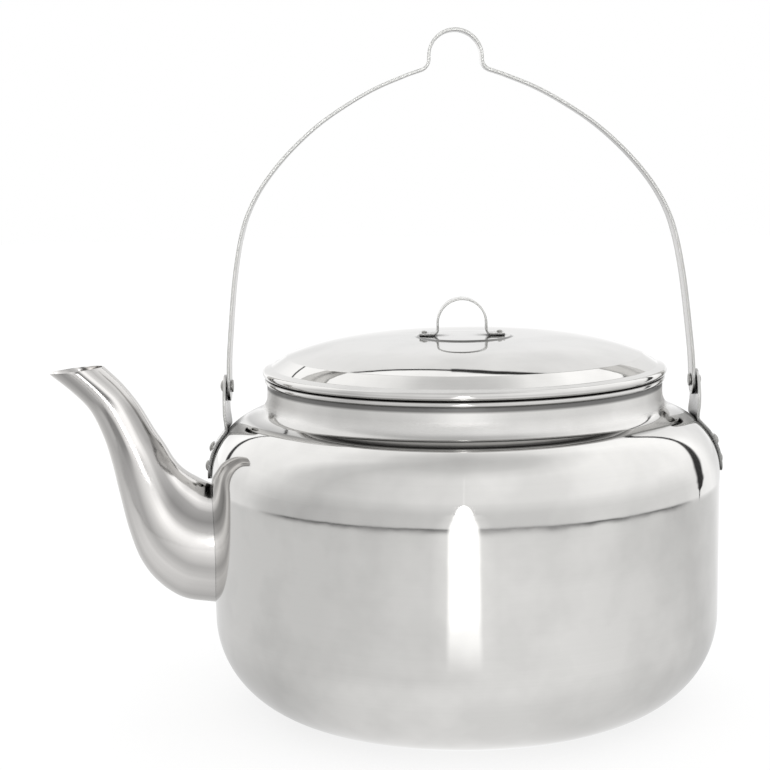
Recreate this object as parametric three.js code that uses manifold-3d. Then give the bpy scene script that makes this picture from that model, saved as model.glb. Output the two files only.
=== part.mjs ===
// Camp coffee kettle: a deep-drawn stainless pot with a swan-neck spout, a swinging strip bail and a
// lift-off lid. Millimetres, +Z up, origin at the centre of the base, spout towards -X.

import * as THREE from 'three';
import { mergeVertices } from 'three/addons/utils/BufferGeometryUtils.js';
import Module from 'manifold-3d';

const wasm = await Module();
wasm.setup();

// Sheet, fits and cutting
const sheet = 0.8;
const seatGap = 0.3;
const cutOverrun = 6;
const roundSegments = 48;
const rivetSegments = 12;
const strainerSides = 8;
const weldDistance = 0.0001;

// Pot, as the outside of its revolved outline
const bodyRadius = 125;
const wallDraft = 0.5;
const baseCornerRadius = 46;
const wallTop = 115.5;
const shoulderRadius = 30.6;
const shoulderSlopeDegrees = 25;
const neckInset = 28.2;
const neckFillet = 10;
const neckHeight = 7;
const rimCurlRadius = 1.4;

// Strainer drilled in the wall behind the spout
const strainerHole = 5;
const strainerPitch = 8.5;
const strainerMargin = 5.8;

// Lid
const lidOverhang = 0.9;
const lidCurlRadius = 2;
const lidBrimWidth = 4.4;
const lidBrimSlopeDegrees = 14;
const lidStepWidth = 7.3;
const lidStepSlopeDegrees = 34;
const lidDomeRise = 8.2;
const lidDomeEdgeSlopeDegrees = 20;
const handleSeatMargin = 0.5;
const handleSeatHeight = 0.6;

// Locating collar under the lid
const collarClearance = 0.6;
const collarDepth = 9;
const collarFlange = 7;

// Finger loop on the lid
const handleWidth = 9;
const handleThickness = 1;
const handleLoopWidth = 24.8;
const handleLoopHeight = 18.3;
const handleSpan = 41.8;
const handleShift = -1.2;
const handleFootFillet = 1.8;
const handleRivetInset = 2.4;
const handleRivetHead = 3;
const handleRivetShank = 1.8;
const handleRivetDome = 0.8;

// Bail: a flat strip, bent to its outline in the plane of the pivots. It sits a little towards the
// spout, and leans a little more that way at its top.
const bailWidth = 14.5;
const bailThickness = 1.5;
const bailPivotRise = 42.5;
const bailRise = 153.5;
const bailShift = -1.4;
const bailLean = -2;
const humpHeight = 18.2;
const humpWidth = 27;
const humpFillet = 4.5;

// Ears: how far their inner faces stand in from the pot's widest line, and their foot below its top
const earInset = 9.9;
const earWidth = 26;
const earThickness = 1.4;
const earTopAbovePivot = 5.6;
const earFootDrop = 1.9;
const earCornerRadius = 5;
const earRivetEdge = 4.8;
const earRivetPitch = 8.9;

// Rivets of the ears and of the bail
const rivetHead = 5.4;
const rivetDome = 1.5;
const rivetShank = 3.6;
const pivotHead = 6.2;
const pivotDome = 1.7;
const pivotShank = 3.8;
const holeClearance = 0.3;

// Spout: reach from the wall to the lip, and height from the foot of its seam to the lip
const spoutReach = 78;
const spoutFoot = 50;
const spoutRise = 116;
const spoutBaseWidth = 46;
const spoutMouthWidth = 20;

// Colours and finishes
const polished = { color: 0xd9d9d6, roughness: 0.08, metalness: 1 };
const spun = { color: 0xd2d2cf, roughness: 0.16, metalness: 1 };
const strip = { color: 0xe0e0de, roughness: 0.22, metalness: 1 };
const rivetSteel = { color: 0xb9b9b6, roughness: 0.3, metalness: 1 };

const degrees = Math.PI / 180;
const kettle = new THREE.Group();

// A closed geometry as a solid that can be joined and cut
function solid(geometry) {
  const bare = geometry.index ? geometry.toNonIndexed() : geometry.clone();
  bare.deleteAttribute('normal');
  bare.deleteAttribute('uv');
  const merged = mergeVertices(bare, weldDistance);
  const index = Array.from(merged.index.array);
  const kept = [];
  for (let i = 0; i < index.length; i += 3) {
    const [a, b, c] = index.slice(i, i + 3);
    if (a !== b && b !== c && c !== a) kept.push(a, b, c);
  }
  const vertProperties = new Float32Array(merged.attributes.position.array);
  if (signedVolume(vertProperties, kept) < 0) kept.reverse();
  const triVerts = new Uint32Array(kept);
  return new wasm.Manifold(new wasm.Mesh({ numProp: 3, vertProperties, triVerts }));
}

// Six times the enclosed volume, negative where the faces point inwards
function signedVolume(vertices, index) {
  const corner = (i) => new THREE.Vector3().fromArray(vertices, 3 * index[i]);
  let sum = 0;
  for (let i = 0; i < index.length; i += 3) {
    sum += corner(i).dot(corner(i + 1).cross(corner(i + 2)));
  }
  return sum;
}

function geometryOf(body) {
  const mesh = body.getMesh();
  const geometry = new THREE.BufferGeometry();
  const positions = new Float32Array(mesh.numVert * 3);
  for (let i = 0; i < mesh.numVert; i += 1) {
    for (let axis = 0; axis < 3; axis += 1) {
      positions[3 * i + axis] = mesh.vertProperties[mesh.numProp * i + axis];
    }
  }
  geometry.setAttribute('position', new THREE.BufferAttribute(positions, 3));
  geometry.setIndex(new THREE.BufferAttribute(new Uint32Array(mesh.triVerts), 1));
  geometry.computeVertexNormals();
  return geometry;
}

function addPiece(name, body, finish) {
  const mesh = new THREE.Mesh(geometryOf(body), new THREE.MeshStandardMaterial(finish));
  mesh.name = name;
  kettle.add(mesh);
  return mesh;
}

// A profile of [radius, height] points, turned about the vertical axis
function revolve(profile, segments = roundSegments) {
  const points = profile.map(([radius, height]) => new THREE.Vector2(radius, height));
  points.push(points[0].clone());
  const geometry = new THREE.LatheGeometry(points, segments);
  geometry.rotateX(Math.PI / 2);
  return solid(geometry);
}

// An outline in the XZ plane, extruded along Y about the plane's own position
function sideProfile(points, width) {
  const shape = new THREE.Shape(points.map(([x, z]) => new THREE.Vector2(x, z)));
  const geometry = new THREE.ExtrudeGeometry(shape, { depth: width, bevelEnabled: false });
  geometry.translate(0, 0, -width / 2);
  geometry.rotateX(Math.PI / 2);
  return solid(geometry);
}

// An outline in the YZ plane, extruded along X from one place to another
function frontProfile(points, fromX, toX) {
  const shape = new THREE.Shape(points.map(([y, z]) => new THREE.Vector2(y, z)));
  const geometry = new THREE.ExtrudeGeometry(shape, { depth: toX - fromX, bevelEnabled: false });
  geometry.rotateX(Math.PI / 2);
  geometry.rotateZ(Math.PI / 2);
  geometry.translate(fromX, 0, 0);
  return solid(geometry);
}

// A round bar or hole along X, centred at one height and one place across
function barAlongX(diameter, fromX, toX, y, z, segments = rivetSegments) {
  const geometry = new THREE.CylinderGeometry(diameter / 2, diameter / 2, toX - fromX, segments);
  geometry.rotateZ(Math.PI / 2);
  geometry.translate((fromX + toX) / 2, y, z);
  return solid(geometry);
}

function arc(centreX, centreZ, radius, fromDegrees, toDegrees, steps) {
  const points = [];
  for (let i = 0; i <= steps; i += 1) {
    const angle = (fromDegrees + ((toDegrees - fromDegrees) * i) / steps) * degrees;
    points.push([centreX + radius * Math.cos(angle), centreZ + radius * Math.sin(angle)]);
  }
  return points;
}

// The line of an outline moved sideways, to the right of its direction for a positive distance
function offsetLine(points, distance) {
  return points.map(([x, z], i) => {
    const [ax, az] = points[Math.max(i - 1, 0)];
    const [bx, bz] = points[Math.min(i + 1, points.length - 1)];
    const length = Math.hypot(bx - ax, bz - az);
    return [x + (distance * (bz - az)) / length, z - (distance * (bx - ax)) / length];
  });
}

function onAxis([radius, height]) {
  return [Math.max(radius, 0), height];
}

// Pot outline, from the base centre outwards and up to the rim
const shoulderCentreRadius = bodyRadius - shoulderRadius;
const shoulderEnd = 90 - shoulderSlopeDegrees;
const slope = shoulderSlopeDegrees * degrees;
const neckRadius = bodyRadius - neckInset;
const filletCentreRadius = neckRadius + neckFillet;
const shoulderToFillet = filletCentreRadius - shoulderCentreRadius;
const filletCentreHeight = wallTop
  + (shoulderRadius + neckFillet) / Math.cos(slope) - shoulderToFillet * Math.tan(slope);
const rimCurlCentre = neckRadius - sheet / 4;
const rimCurlHeight = filletCentreHeight + neckHeight;
const baseCornerCentre = bodyRadius - wallDraft - baseCornerRadius;

function potOutline(grow) {
  return [
    ...arc(baseCornerCentre, baseCornerRadius, baseCornerRadius + grow, -90, 0, 7),
    ...arc(shoulderCentreRadius, wallTop, shoulderRadius + grow, 0, shoulderEnd, 7),
    ...arc(filletCentreRadius, filletCentreHeight, neckFillet - grow, 180 + shoulderEnd, 180, 4),
  ];
}

function makeBody() {
  const outside = [[0, 0], ...potOutline(0)];
  const inside = [[0, sheet], ...potOutline(-sheet)];
  const curlFoot = Math.acos((neckRadius - rimCurlCentre) / rimCurlRadius) / degrees;
  const curl = arc(rimCurlCentre, rimCurlHeight, rimCurlRadius, -curlFoot, 180, 6);
  const lip = [[neckRadius - sheet, rimCurlHeight]];
  let body = revolve([...outside, ...curl, ...lip, ...inside.reverse()]);
  for (const [y, z] of strainerPlaces()) {
    const from = -bodyRadius - cutOverrun;
    const hole = barAlongX(strainerHole, from, cutOverrun - bodyRadius, y, z, strainerSides);
    body = body.subtract(hole);
  }
  return body;
}

// Rows of holes on a triangular pitch that fill an upright oval inside the spout's seam
function strainerPlaces() {
  const places = [];
  const seamHalfHeight = (innerCurveShares[0][1] * spoutRise) / 2;
  const strainerHeight = spoutFoot + seamHalfHeight;
  const strainerHalfHeight = seamHalfHeight - strainerMargin;
  const strainerHalfWidth = spoutBaseWidth / 2 - strainerMargin;
  const rowPitch = strainerPitch * Math.sin(60 * degrees);
  const rows = Math.floor(strainerHalfHeight / rowPitch);
  for (let row = -rows; row <= rows; row += 1) {
    const z = row * rowPitch;
    const halfRow = strainerHalfWidth * Math.sqrt(1 - (z / strainerHalfHeight) ** 2);
    const shift = row % 2 === 0 ? 0 : strainerPitch / 2;
    const reach = Math.floor((halfRow + shift) / strainerPitch);
    for (let column = -reach; column <= reach; column += 1) {
      const y = column * strainerPitch + shift;
      if (Math.abs(y) <= halfRow) places.push([y, strainerHeight + z]);
    }
  }
  return places;
}

// Everything inside the pot's outer skin, grown by the seat gap: what sits on the pot is cut by it
function potEnvelope(grow) {
  const outline = potOutline(grow);
  const neckTop = [neckRadius + grow, rimCurlHeight];
  return revolve([[0, -grow], ...outline, neckTop, [0, rimCurlHeight]]);
}

// Spout outlines in shares of its reach and rise: the outer one from the foot of the seam to the lip,
// the inner one from the top of the seam to the back of the mouth
const outerCurveShares = [
  [0, 0], [0.205, 0.024], [0.36, 0.096], [0.46, 0.187], [0.53, 0.315], [0.583, 0.47],
  [0.628, 0.61], [0.683, 0.735], [0.76, 0.843], [0.862, 0.916], [1, 0.994],
];
const innerCurveShares = [
  [0, 0.51], [0.045, 0.522], [0.105, 0.544], [0.15, 0.562], [0.195, 0.586], [0.24, 0.622],
  [0.292, 0.683], [0.358, 0.753], [0.449, 0.859], [0.55, 0.948], [0.658, 1.02],
];
const widthShares = [1, 0.97, 0.9, 0.81, 0.7, 0.6, 0.53, 0.48, 0.445, 0.435, 0.435];
const spoutStations = 20;
const spoutSides = 20;

function spoutCurve(shares) {
  const points = shares.map(([along, up]) => (
    new THREE.Vector3(-bodyRadius - along * spoutReach, 0, spoutFoot + up * spoutRise)));
  return new THREE.CatmullRomCurve3(points, false, 'centripetal');
}

// The spout's width at a share of its length, between the hand-set stations
function spoutWidth(share) {
  const place = share * (widthShares.length - 1);
  const low = Math.min(Math.floor(place), widthShares.length - 2);
  const mixed = THREE.MathUtils.lerp(widthShares[low], widthShares[low + 1], place - low);
  const mouthShare = spoutMouthWidth / spoutBaseWidth;
  return spoutBaseWidth * Math.max(mixed, mouthShare);
}

// A closed loft through oval rings that stand between the two outlines, each drawn in by an inset.
// The loft runs on past its first ring into the pot, and past its last by the given overrun.
function spoutLoft(inset, overrun) {
  const outer = spoutCurve(outerCurveShares);
  const inner = spoutCurve(innerCurveShares);
  const rings = [];
  for (let station = 0; station <= spoutStations; station += 1) {
    const share = station / spoutStations;
    rings.push(spoutRing(outer.getPoint(share), inner.getPoint(share), spoutWidth(share), inset));
  }
  const root = rings[0].map((point) => point.clone().setX(point.x + wallDraft + cutOverrun));
  const mouth = rings[rings.length - 1];
  const away = outer.getTangent(1).multiplyScalar(overrun);
  const stacked = [root, ...rings];
  if (overrun > 0) stacked.push(mouth.map((point) => point.clone().add(away)));
  return loft(stacked);
}

function spoutRing(low, high, width, inset) {
  const centre = low.clone().add(high).multiplyScalar(1 / 2);
  const up = high.clone().sub(low).multiplyScalar(1 / 2);
  const tall = up.length() - inset;
  const wide = width / 2 - inset;
  const ring = [];
  for (let side = 0; side < spoutSides; side += 1) {
    const angle = (side / spoutSides) * 2 * Math.PI;
    const point = centre.clone().addScaledVector(up.clone().normalize(), tall * Math.cos(angle));
    ring.push(point.setY(wide * Math.sin(angle)));
  }
  return ring;
}

// A closed skin over a stack of rings with as many points each, capped by fans at both ends
function loft(rings) {
  const sides = rings[0].length;
  const positions = [];
  const corner = (ring, side) => rings[ring][side % sides].toArray();
  for (let ring = 0; ring + 1 < rings.length; ring += 1) {
    for (let side = 0; side < sides; side += 1) {
      positions.push(...corner(ring, side), ...corner(ring, side + 1), ...corner(ring + 1, side));
      positions.push(...corner(ring + 1, side), ...corner(ring, side + 1));
      positions.push(...corner(ring + 1, side + 1));
    }
  }
  for (const [ring, turn] of [[0, 1], [rings.length - 1, 0]]) {
    const centre = rings[ring].reduce((sum, point) => sum.add(point), new THREE.Vector3());
    centre.divideScalar(sides);
    for (let side = 0; side < sides; side += 1) {
      positions.push(...centre.toArray());
      positions.push(...corner(ring, side + turn), ...corner(ring, side + 1 - turn));
    }
  }
  const geometry = new THREE.BufferGeometry();
  geometry.setAttribute('position', new THREE.Float32BufferAttribute(positions, 3));
  return solid(geometry);
}

function makeSpout() {
  return spoutLoft(0, 0).subtract(spoutLoft(sheet, cutOverrun)).subtract(potEnvelope(seatGap));
}

// Ears: a flat upright outside the bail's end, and a foot that hugs the shoulder and the wall
const bailPivotHeight = wallTop + bailPivotRise;
const bailOuterFace = bodyRadius - earInset - seatGap;
const earFoot = wallTop - earFootDrop;
const earRivetLower = earFoot + earRivetEdge;
const earRivetUpper = earRivetLower + earRivetPitch;

function earInnerFace(side) {
  return bodyRadius - earInset + side * bailShift;
}

function earOuterFace(side) {
  return earInnerFace(side) + earThickness;
}

function earOutline() {
  const half = earWidth / 2;
  const topCentre = bailPivotHeight + earTopAbovePivot - half;
  return [
    ...arc(earCornerRadius - half, earFoot + earCornerRadius, earCornerRadius, 180, 270, 4),
    ...arc(half - earCornerRadius, earFoot + earCornerRadius, earCornerRadius, 270, 360, 4),
    ...arc(0, topCentre, half, 0, 180, 14),
  ];
}

// Where the foot's rivets sit: the height fixes how far round the shoulder the rivet leans
function shoulderAngle(height) {
  return Math.asin(Math.max(height - wallTop, 0) / shoulderRadius);
}

function makeEar(side) {
  const inner = earInnerFace(side);
  const bend = Math.acos((inner - shoulderCentreRadius) / (shoulderRadius + seatGap));
  const foot = revolve([
    ...arc(shoulderCentreRadius, wallTop, shoulderRadius + seatGap + earThickness, 0, bend / degrees, 6),
    ...arc(shoulderCentreRadius, wallTop, shoulderRadius + seatGap, bend / degrees, 0, 6),
    [bodyRadius + seatGap, earFoot - cutOverrun],
    [bodyRadius + seatGap + earThickness, earFoot - cutOverrun],
  ]);
  const uprightFoot = wallTop + shoulderRadius * Math.sin(bend) - earThickness;
  const upright = new THREE.BoxGeometry(earThickness, earWidth, bailPivotHeight);
  upright.translate(inner + earThickness / 2, 0, uprightFoot + bailPivotHeight / 2);
  const blank = frontProfile(earOutline(), shoulderCentreRadius, bodyRadius + cutOverrun);
  let ear = foot.add(solid(upright).subtract(potEnvelope(seatGap))).intersect(blank);
  const pivotHole = pivotShank + 2 * holeClearance;
  ear = ear.subtract(barAlongX(pivotHole, 0, bodyRadius + cutOverrun, 0, bailPivotHeight));
  for (const height of [earRivetLower, earRivetUpper]) {
    ear = ear.subtract(rivetHole(height));
  }
  return side < 0 ? ear.mirror([1, 0, 0]) : ear;
}

// A hole square to the shoulder, on the +X side, through ear and wall
function rivetHole(height) {
  const angle = shoulderAngle(height);
  const geometry = new THREE.CylinderGeometry(
    rivetShank / 2 + holeClearance, rivetShank / 2 + holeClearance, 4 * cutOverrun, rivetSegments,
  );
  geometry.rotateZ(Math.PI / 2);
  geometry.rotateY(-angle);
  geometry.translate(shoulderCentreRadius, 0, height - shoulderRadius * Math.sin(angle));
  geometry.translate(shoulderRadius * Math.cos(angle), 0, shoulderRadius * Math.sin(angle));
  return solid(geometry);
}

// A rivet on its own axis: domed head above z = 0, shank, and a flat closing head below the grip
function rivetBody(head, dome, shank, grip, closing) {
  const closingTop = -grip;
  return revolve([
    [0, dome],
    [head / 4, dome - dome / 12],
    [head / 2 - head / 12, dome / 2],
    [head / 2, 0],
    [shank / 2, 0],
    [shank / 2, closingTop],
    [closing / 2, closingTop],
    [closing / 2, closingTop - dome / 2],
    [0, closingTop - dome / 2],
  ], rivetSegments);
}

function addEarRivets(side, sideName) {
  const grip = sheet + earThickness + 3 * seatGap;
  for (const [height, place] of [[earRivetUpper, 'upper'], [earRivetLower, 'lower']]) {
    const angle = shoulderAngle(height);
    const radius = shoulderRadius + earThickness + 2 * seatGap;
    const name = `ear_${sideName}_rivet_${place}`;
    const body = rivetBody(rivetHead, rivetDome, rivetShank, grip, rivetHead);
    const rivet = addPiece(name, body, rivetSteel);
    const footHeight = height - shoulderRadius * Math.sin(angle);
    rivet.position.x = side * (shoulderCentreRadius + radius * Math.cos(angle));
    rivet.position.z = footHeight + radius * Math.sin(angle);
    rivet.rotation.y = side * (Math.PI / 2 - angle);
  }
}

function addPivotRivet(side, sideName) {
  const grip = earThickness + bailThickness + 3 * seatGap;
  const body = rivetBody(pivotHead, pivotDome, pivotShank, grip, pivotHead);
  const rivet = addPiece(`bail_rivet_${sideName}`, body, rivetSteel);
  rivet.position.x = side * (earOuterFace(side) + seatGap);
  rivet.position.z = bailPivotHeight;
  rivet.rotation.y = (side * Math.PI) / 2;
}

// Half of the bail's outer line, in shares of the pivot half-width and of the rise above the pivot:
// nearly straight legs that lean in, a round quarter, and a flatter run to the hump
const bailLineShares = [
  [1, 0], [0.996, 0.08], [0.987, 0.156], [0.965, 0.309], [0.95, 0.384], [0.93, 0.46],
  [0.9, 0.535], [0.85, 0.61], [0.778, 0.685], [0.685, 0.76], [0.57, 0.834], [0.416, 0.908],
  [0.32, 0.945], [0.197, 0.982],
];

function bailOuterLine() {
  const place = ([across, up]) => (
    new THREE.Vector3(across * bailOuterFace, 0, bailPivotHeight + up * bailRise));
  const curve = new THREE.CatmullRomCurve3(bailLineShares.map(place), false, 'centripetal');
  const half = curve.getPoints(26).map((point) => [point.x, point.z]);
  const shoulderHeight = half[half.length - 1][1] + humpFillet;
  const humpRadius = humpWidth / 2;
  const humpCentre = bailPivotHeight + bailRise + humpHeight - humpRadius;
  const filletCentre = humpRadius + humpFillet;
  const hump = [
    ...arc(filletCentre, shoulderHeight, humpFillet, 252, 180, 4),
    ...arc(0, humpCentre, humpRadius, 0, 90, 7),
  ];
  const end = [bailOuterFace, bailPivotHeight - bailWidth];
  const right = [end, ...half, ...hump];
  const left = right.slice(0, -1).reverse().map(([x, z]) => [-x, z]);
  return [...right, ...left].map(leanToSpout);
}

function leanToSpout([x, z]) {
  const share = Math.max(z - bailPivotHeight, 0) / (bailRise + humpHeight);
  return [x + bailShift + bailLean * share, z];
}

function makeBail() {
  const outer = bailOuterLine();
  const inner = offsetLine(outer, -bailThickness).reverse();
  const half = bailWidth / 2;
  const top = bailPivotHeight + bailRise + humpHeight + cutOverrun;
  const blank = frontProfile([
    ...arc(0, bailPivotHeight, half, 180, 360, 10), [half, top], [-half, top],
  ], -bodyRadius, bodyRadius);
  const hole = barAlongX(pivotShank + 2 * holeClearance, -bodyRadius, bodyRadius, 0, bailPivotHeight);
  return sideProfile([...outer, ...inner], bailWidth).intersect(blank).subtract(hole);
}

// Lid outline from the handle seat outwards: flat seat, dome, step, brim and curled edge
const lidRadius = rimCurlCentre + rimCurlRadius + lidOverhang;
const lidCurlCentre = lidRadius - lidCurlRadius;
const lidCurlHeight = rimCurlHeight + rimCurlRadius + seatGap + lidCurlRadius;
const brimSlope = Math.tan(lidBrimSlopeDegrees * degrees);
const stepSlope = Math.tan(lidStepSlopeDegrees * degrees);
const brimStart = lidCurlCentre + lidCurlRadius * Math.sin(lidBrimSlopeDegrees * degrees);
const brimRadius = lidRadius - lidBrimWidth;
const brimHeight = lidCurlHeight + lidCurlRadius * Math.cos(lidBrimSlopeDegrees * degrees)
  + (brimStart - brimRadius) * brimSlope;
const lidStepRadius = brimRadius - lidStepWidth;
const stepHeight = brimHeight + lidStepWidth * stepSlope;
const domeTop = stepHeight + lidDomeRise;
const handleSeatRadius = handleSeatMargin
  + Math.hypot(handleSpan / 2 + Math.abs(handleShift), handleWidth / 2);

function domeCurve() {
  const run = lidStepRadius - handleSeatRadius;
  const rise = Math.tan(lidDomeEdgeSlopeDegrees * degrees);
  const curve = new THREE.CubicBezierCurve(
    new THREE.Vector2(handleSeatRadius + handleSeatHeight, domeTop),
    new THREE.Vector2(handleSeatRadius + run / 2, domeTop),
    new THREE.Vector2(lidStepRadius - run / 3, stepHeight + (rise * run) / 3),
    new THREE.Vector2(lidStepRadius, stepHeight),
  );
  return curve.getPoints(7).map((point) => [point.x, point.y]);
}

function makeLid() {
  const seatTop = domeTop + handleSeatHeight;
  const top = [[0, seatTop], [handleSeatRadius, seatTop], ...domeCurve(), [brimRadius, brimHeight]];
  const under = offsetLine(top, sheet).map(onAxis);
  const curl = arc(lidCurlCentre, lidCurlHeight, lidCurlRadius, 90 - lidBrimSlopeDegrees, -150, 7);
  return revolve([...top, ...curl, ...under.reverse()]);
}

// The collar: a short tube in the neck, with a flange that lies under the lid's step
const collarRadius = rimCurlCentre - rimCurlRadius - collarClearance;

function underLid(radius) {
  const drop = (sheet + seatGap) / Math.cos(lidStepSlopeDegrees * degrees);
  return stepHeight - (radius - lidStepRadius) * stepSlope - drop;
}

function makeCollar() {
  const bendRadius = collarRadius - 2 * sheet;
  const flangeRadius = Math.max(collarRadius - collarFlange, lidStepRadius);
  const outer = [
    [flangeRadius, underLid(flangeRadius)],
    [bendRadius, underLid(bendRadius)],
    [collarRadius, lidCurlHeight - seatGap],
    [collarRadius, rimCurlHeight - collarDepth],
  ];
  return revolve([...outer, ...offsetLine(outer, sheet).reverse()]);
}

// Finger loop: a round-topped arch between two flat feet
const handleFoot = domeTop + handleSeatHeight + seatGap;

function handleLine() {
  const radius = handleLoopWidth / 2;
  const filletCentre = radius + handleFootFillet;
  const footTop = handleFoot + handleThickness;
  const right = [
    [handleSpan / 2, footTop],
    ...arc(filletCentre, footTop + handleFootFillet, handleFootFillet, 270, 180, 4),
    ...arc(0, handleFoot + handleLoopHeight - radius, radius, 0, 90, 8),
  ];
  const whole = [...right, ...right.slice(0, -1).reverse().map(([x, z]) => [-x, z])];
  return whole.map(([x, z]) => [x + handleShift, z]);
}

function makeHandle() {
  const outer = handleLine();
  const inner = offsetLine(outer, -handleThickness).reverse();
  let handle = sideProfile([...outer, ...inner], handleWidth);
  for (const side of [-1, 1]) {
    handle = handle.subtract(handleRivetHole(side));
  }
  return handle;
}

function handleRivetPlace(side) {
  return handleShift + side * (handleSpan / 2 - handleRivetInset);
}

function handleRivetHole(side) {
  const radius = handleRivetShank / 2 + holeClearance;
  const geometry = new THREE.CylinderGeometry(radius, radius, 2 * cutOverrun, rivetSegments);
  geometry.rotateX(Math.PI / 2);
  geometry.translate(handleRivetPlace(side), 0, handleFoot);
  return solid(geometry);
}

function addHandleRivet(side, sideName) {
  const grip = handleThickness + sheet + 3 * seatGap;
  const body = rivetBody(handleRivetHead, handleRivetDome, handleRivetShank, grip, handleRivetHead);
  const rivet = addPiece(`lid_handle_rivet_${sideName}`, body, rivetSteel);
  rivet.position.x = handleRivetPlace(side);
  rivet.position.z = handleFoot + handleThickness + seatGap;
}

// Assembly: the pot is drilled for the ears' rivets, the lid for its handle's
let body = makeBody();
for (const height of [earRivetLower, earRivetUpper]) {
  const hole = rivetHole(height);
  body = body.subtract(hole).subtract(hole.mirror([1, 0, 0]));
}
addPiece('kettle_body', body, polished);
addPiece('spout', makeSpout(), spun);
addPiece('bail', makeBail(), strip);
for (const [side, sideName] of [[-1, 'left'], [1, 'right']]) {
  addPiece(`ear_${sideName}`, makeEar(side), strip);
  addEarRivets(side, sideName);
  addPivotRivet(side, sideName);
}

let lid = makeLid();
for (const side of [-1, 1]) {
  lid = lid.subtract(handleRivetHole(side));
}
addPiece('lid', lid, polished);
addPiece('lid_collar', makeCollar(), spun);
addPiece('lid_handle', makeHandle(), strip);
addHandleRivet(-1, 'left');
addHandleRivet(1, 'right');

export default kettle;
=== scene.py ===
# The looks of a stainless camp coffee kettle, laid out as a Blender add-on and run as a script.
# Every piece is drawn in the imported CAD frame, in metres, and takes the place of the node it names.

import math
from functools import partial

import bmesh
import bpy
from bpy.props import FloatProperty, FloatVectorProperty, IntProperty, PointerProperty
from bpy.types import Operator, Panel, PropertyGroup
from mathutils import Matrix, Vector


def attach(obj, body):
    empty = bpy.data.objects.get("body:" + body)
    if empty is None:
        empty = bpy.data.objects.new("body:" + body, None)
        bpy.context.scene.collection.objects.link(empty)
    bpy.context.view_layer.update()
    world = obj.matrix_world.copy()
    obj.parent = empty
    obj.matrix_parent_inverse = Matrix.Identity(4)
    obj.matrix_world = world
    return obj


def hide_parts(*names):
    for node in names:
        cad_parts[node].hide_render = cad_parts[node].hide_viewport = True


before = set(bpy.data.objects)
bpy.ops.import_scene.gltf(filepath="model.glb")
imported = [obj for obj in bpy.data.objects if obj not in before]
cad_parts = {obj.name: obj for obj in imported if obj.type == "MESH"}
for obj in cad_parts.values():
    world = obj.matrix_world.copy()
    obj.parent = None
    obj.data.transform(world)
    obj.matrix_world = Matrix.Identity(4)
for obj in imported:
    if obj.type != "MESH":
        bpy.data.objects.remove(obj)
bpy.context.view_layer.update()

bl_info = {
    "name": "Camp coffee kettle",
    "version": (1, 0, 0),
    "blender": (4, 5, 0),
    "location": "3D view > Sidebar > Kettle",
    "description": "Builds a stainless camp coffee kettle piece by piece over its CAD frame",
    "category": "Add Mesh",
}

MM = 0.001
LONGEST_STEP = 4 * MM  # along a turned outline or the bail
BROKEN_EDGE = 0.2 * MM  # rounding of the edges of ears, finger loop and rivets
SHEET_DRILL = 8 * MM  # length of a drill through sheet
PIVOT_DRILL = 12 * MM
STRAINER_DRILL = 12 * MM
BAIL_DRILL = 40 * MM
SPOUT_STEPS = 8  # between two points of a spout outline
SPOUT_SIDES = 72
EAR_COLUMNS = 28
RIVET_SIDES = 28
FLOOR_SIDES = 128
SENSOR_WIDTH = 36  # of the camera, in millimetres
LENS = 83.6  # focal length, in millimetres
CAMERA_SHIFT = -0.105  # of the lens, for the photograph's framing


# Sizes and colours that a user would change

def length(label, millimetres, description):
    """A length, written here in millimetres and kept in metres."""
    return FloatProperty(name=label, description=description, default=millimetres * MM,
                         unit="LENGTH", precision=5)


def slant(label, degrees, description):
    """An angle, written here in degrees and kept in radians."""
    return FloatProperty(name=label, description=description, default=math.radians(degrees),
                         subtype="ANGLE")


def linear(hex_code):
    """An sRGB hex colour as the linear red, green and blue that Blender works in."""
    shares = [int(hex_code[place:place + 2], 16) / 255 for place in (1, 3, 5)]
    return tuple(share / 12.92 if share <= 0.04045 else ((share + 0.055) / 1.055) ** 2.4
                 for share in shares)


def tint(label, hex_code, description):
    """A colour, written here as sRGB hex and kept as linear values."""
    return FloatVectorProperty(name=label, description=description, default=linear(hex_code),
                               size=3, min=0, max=1, subtype="COLOR")


class PotSizes(PropertyGroup):
    """The deep-drawn pot, as the outside of its turned outline."""
    body_radius: length("Body radius", 125, "Outside radius at the widest line")
    wall_draft: length("Wall draft", 0.5, "How far the wall leans in towards its foot")
    base_corner: length("Base corner", 46, "Radius between base and wall")
    wall_top: length("Wall top", 115.5, "Height at which the wall turns into the shoulder")
    shoulder: length("Shoulder", 30.6, "Radius of the shoulder")
    shoulder_slope: slant("Shoulder slope", 25, "Slope at which the shoulder meets the neck")
    neck_inset: length("Neck inset", 28.2, "How far the neck stands in from the widest line")
    neck_fillet: length("Neck fillet", 10, "Radius between shoulder and neck")
    neck_height: length("Neck height", 7, "Straight neck below the rim's roll")
    rim_curl: length("Rim roll", 1.4, "Radius of the rolled rim")
    sheet: length("Sheet", 0.8, "Thickness of the pot's, spout's and lid's sheet")
    seat_gap: length("Seat gap", 0.3, "Air left between pieces that lie on each other")
    turns: IntProperty(name="Turned steps", description="Steps round a turned piece",
                       default=240, min=24, max=512)


class StrainerSizes(PropertyGroup):
    """The drilled strainer in the wall behind the spout."""
    hole: length("Hole", 5, "Diameter of one strainer hole")
    pitch: length("Pitch", 8.5, "Distance between neighbouring holes")
    margin: length("Margin", 5.8, "Plain wall left between the holes' oval and the spout's seam")


class SpoutSizes(PropertyGroup):
    """The swan-neck spout."""
    reach: length("Reach", 78, "From the wall's widest line to the lip")
    foot: length("Foot", 50, "Height of the seam's foot above the base")
    rise: length("Rise", 116, "Height of the lip above the seam's foot")
    base_width: length("Base width", 46, "Width at the seam")
    mouth_width: length("Mouth width", 20, "Width at the lip")


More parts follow.
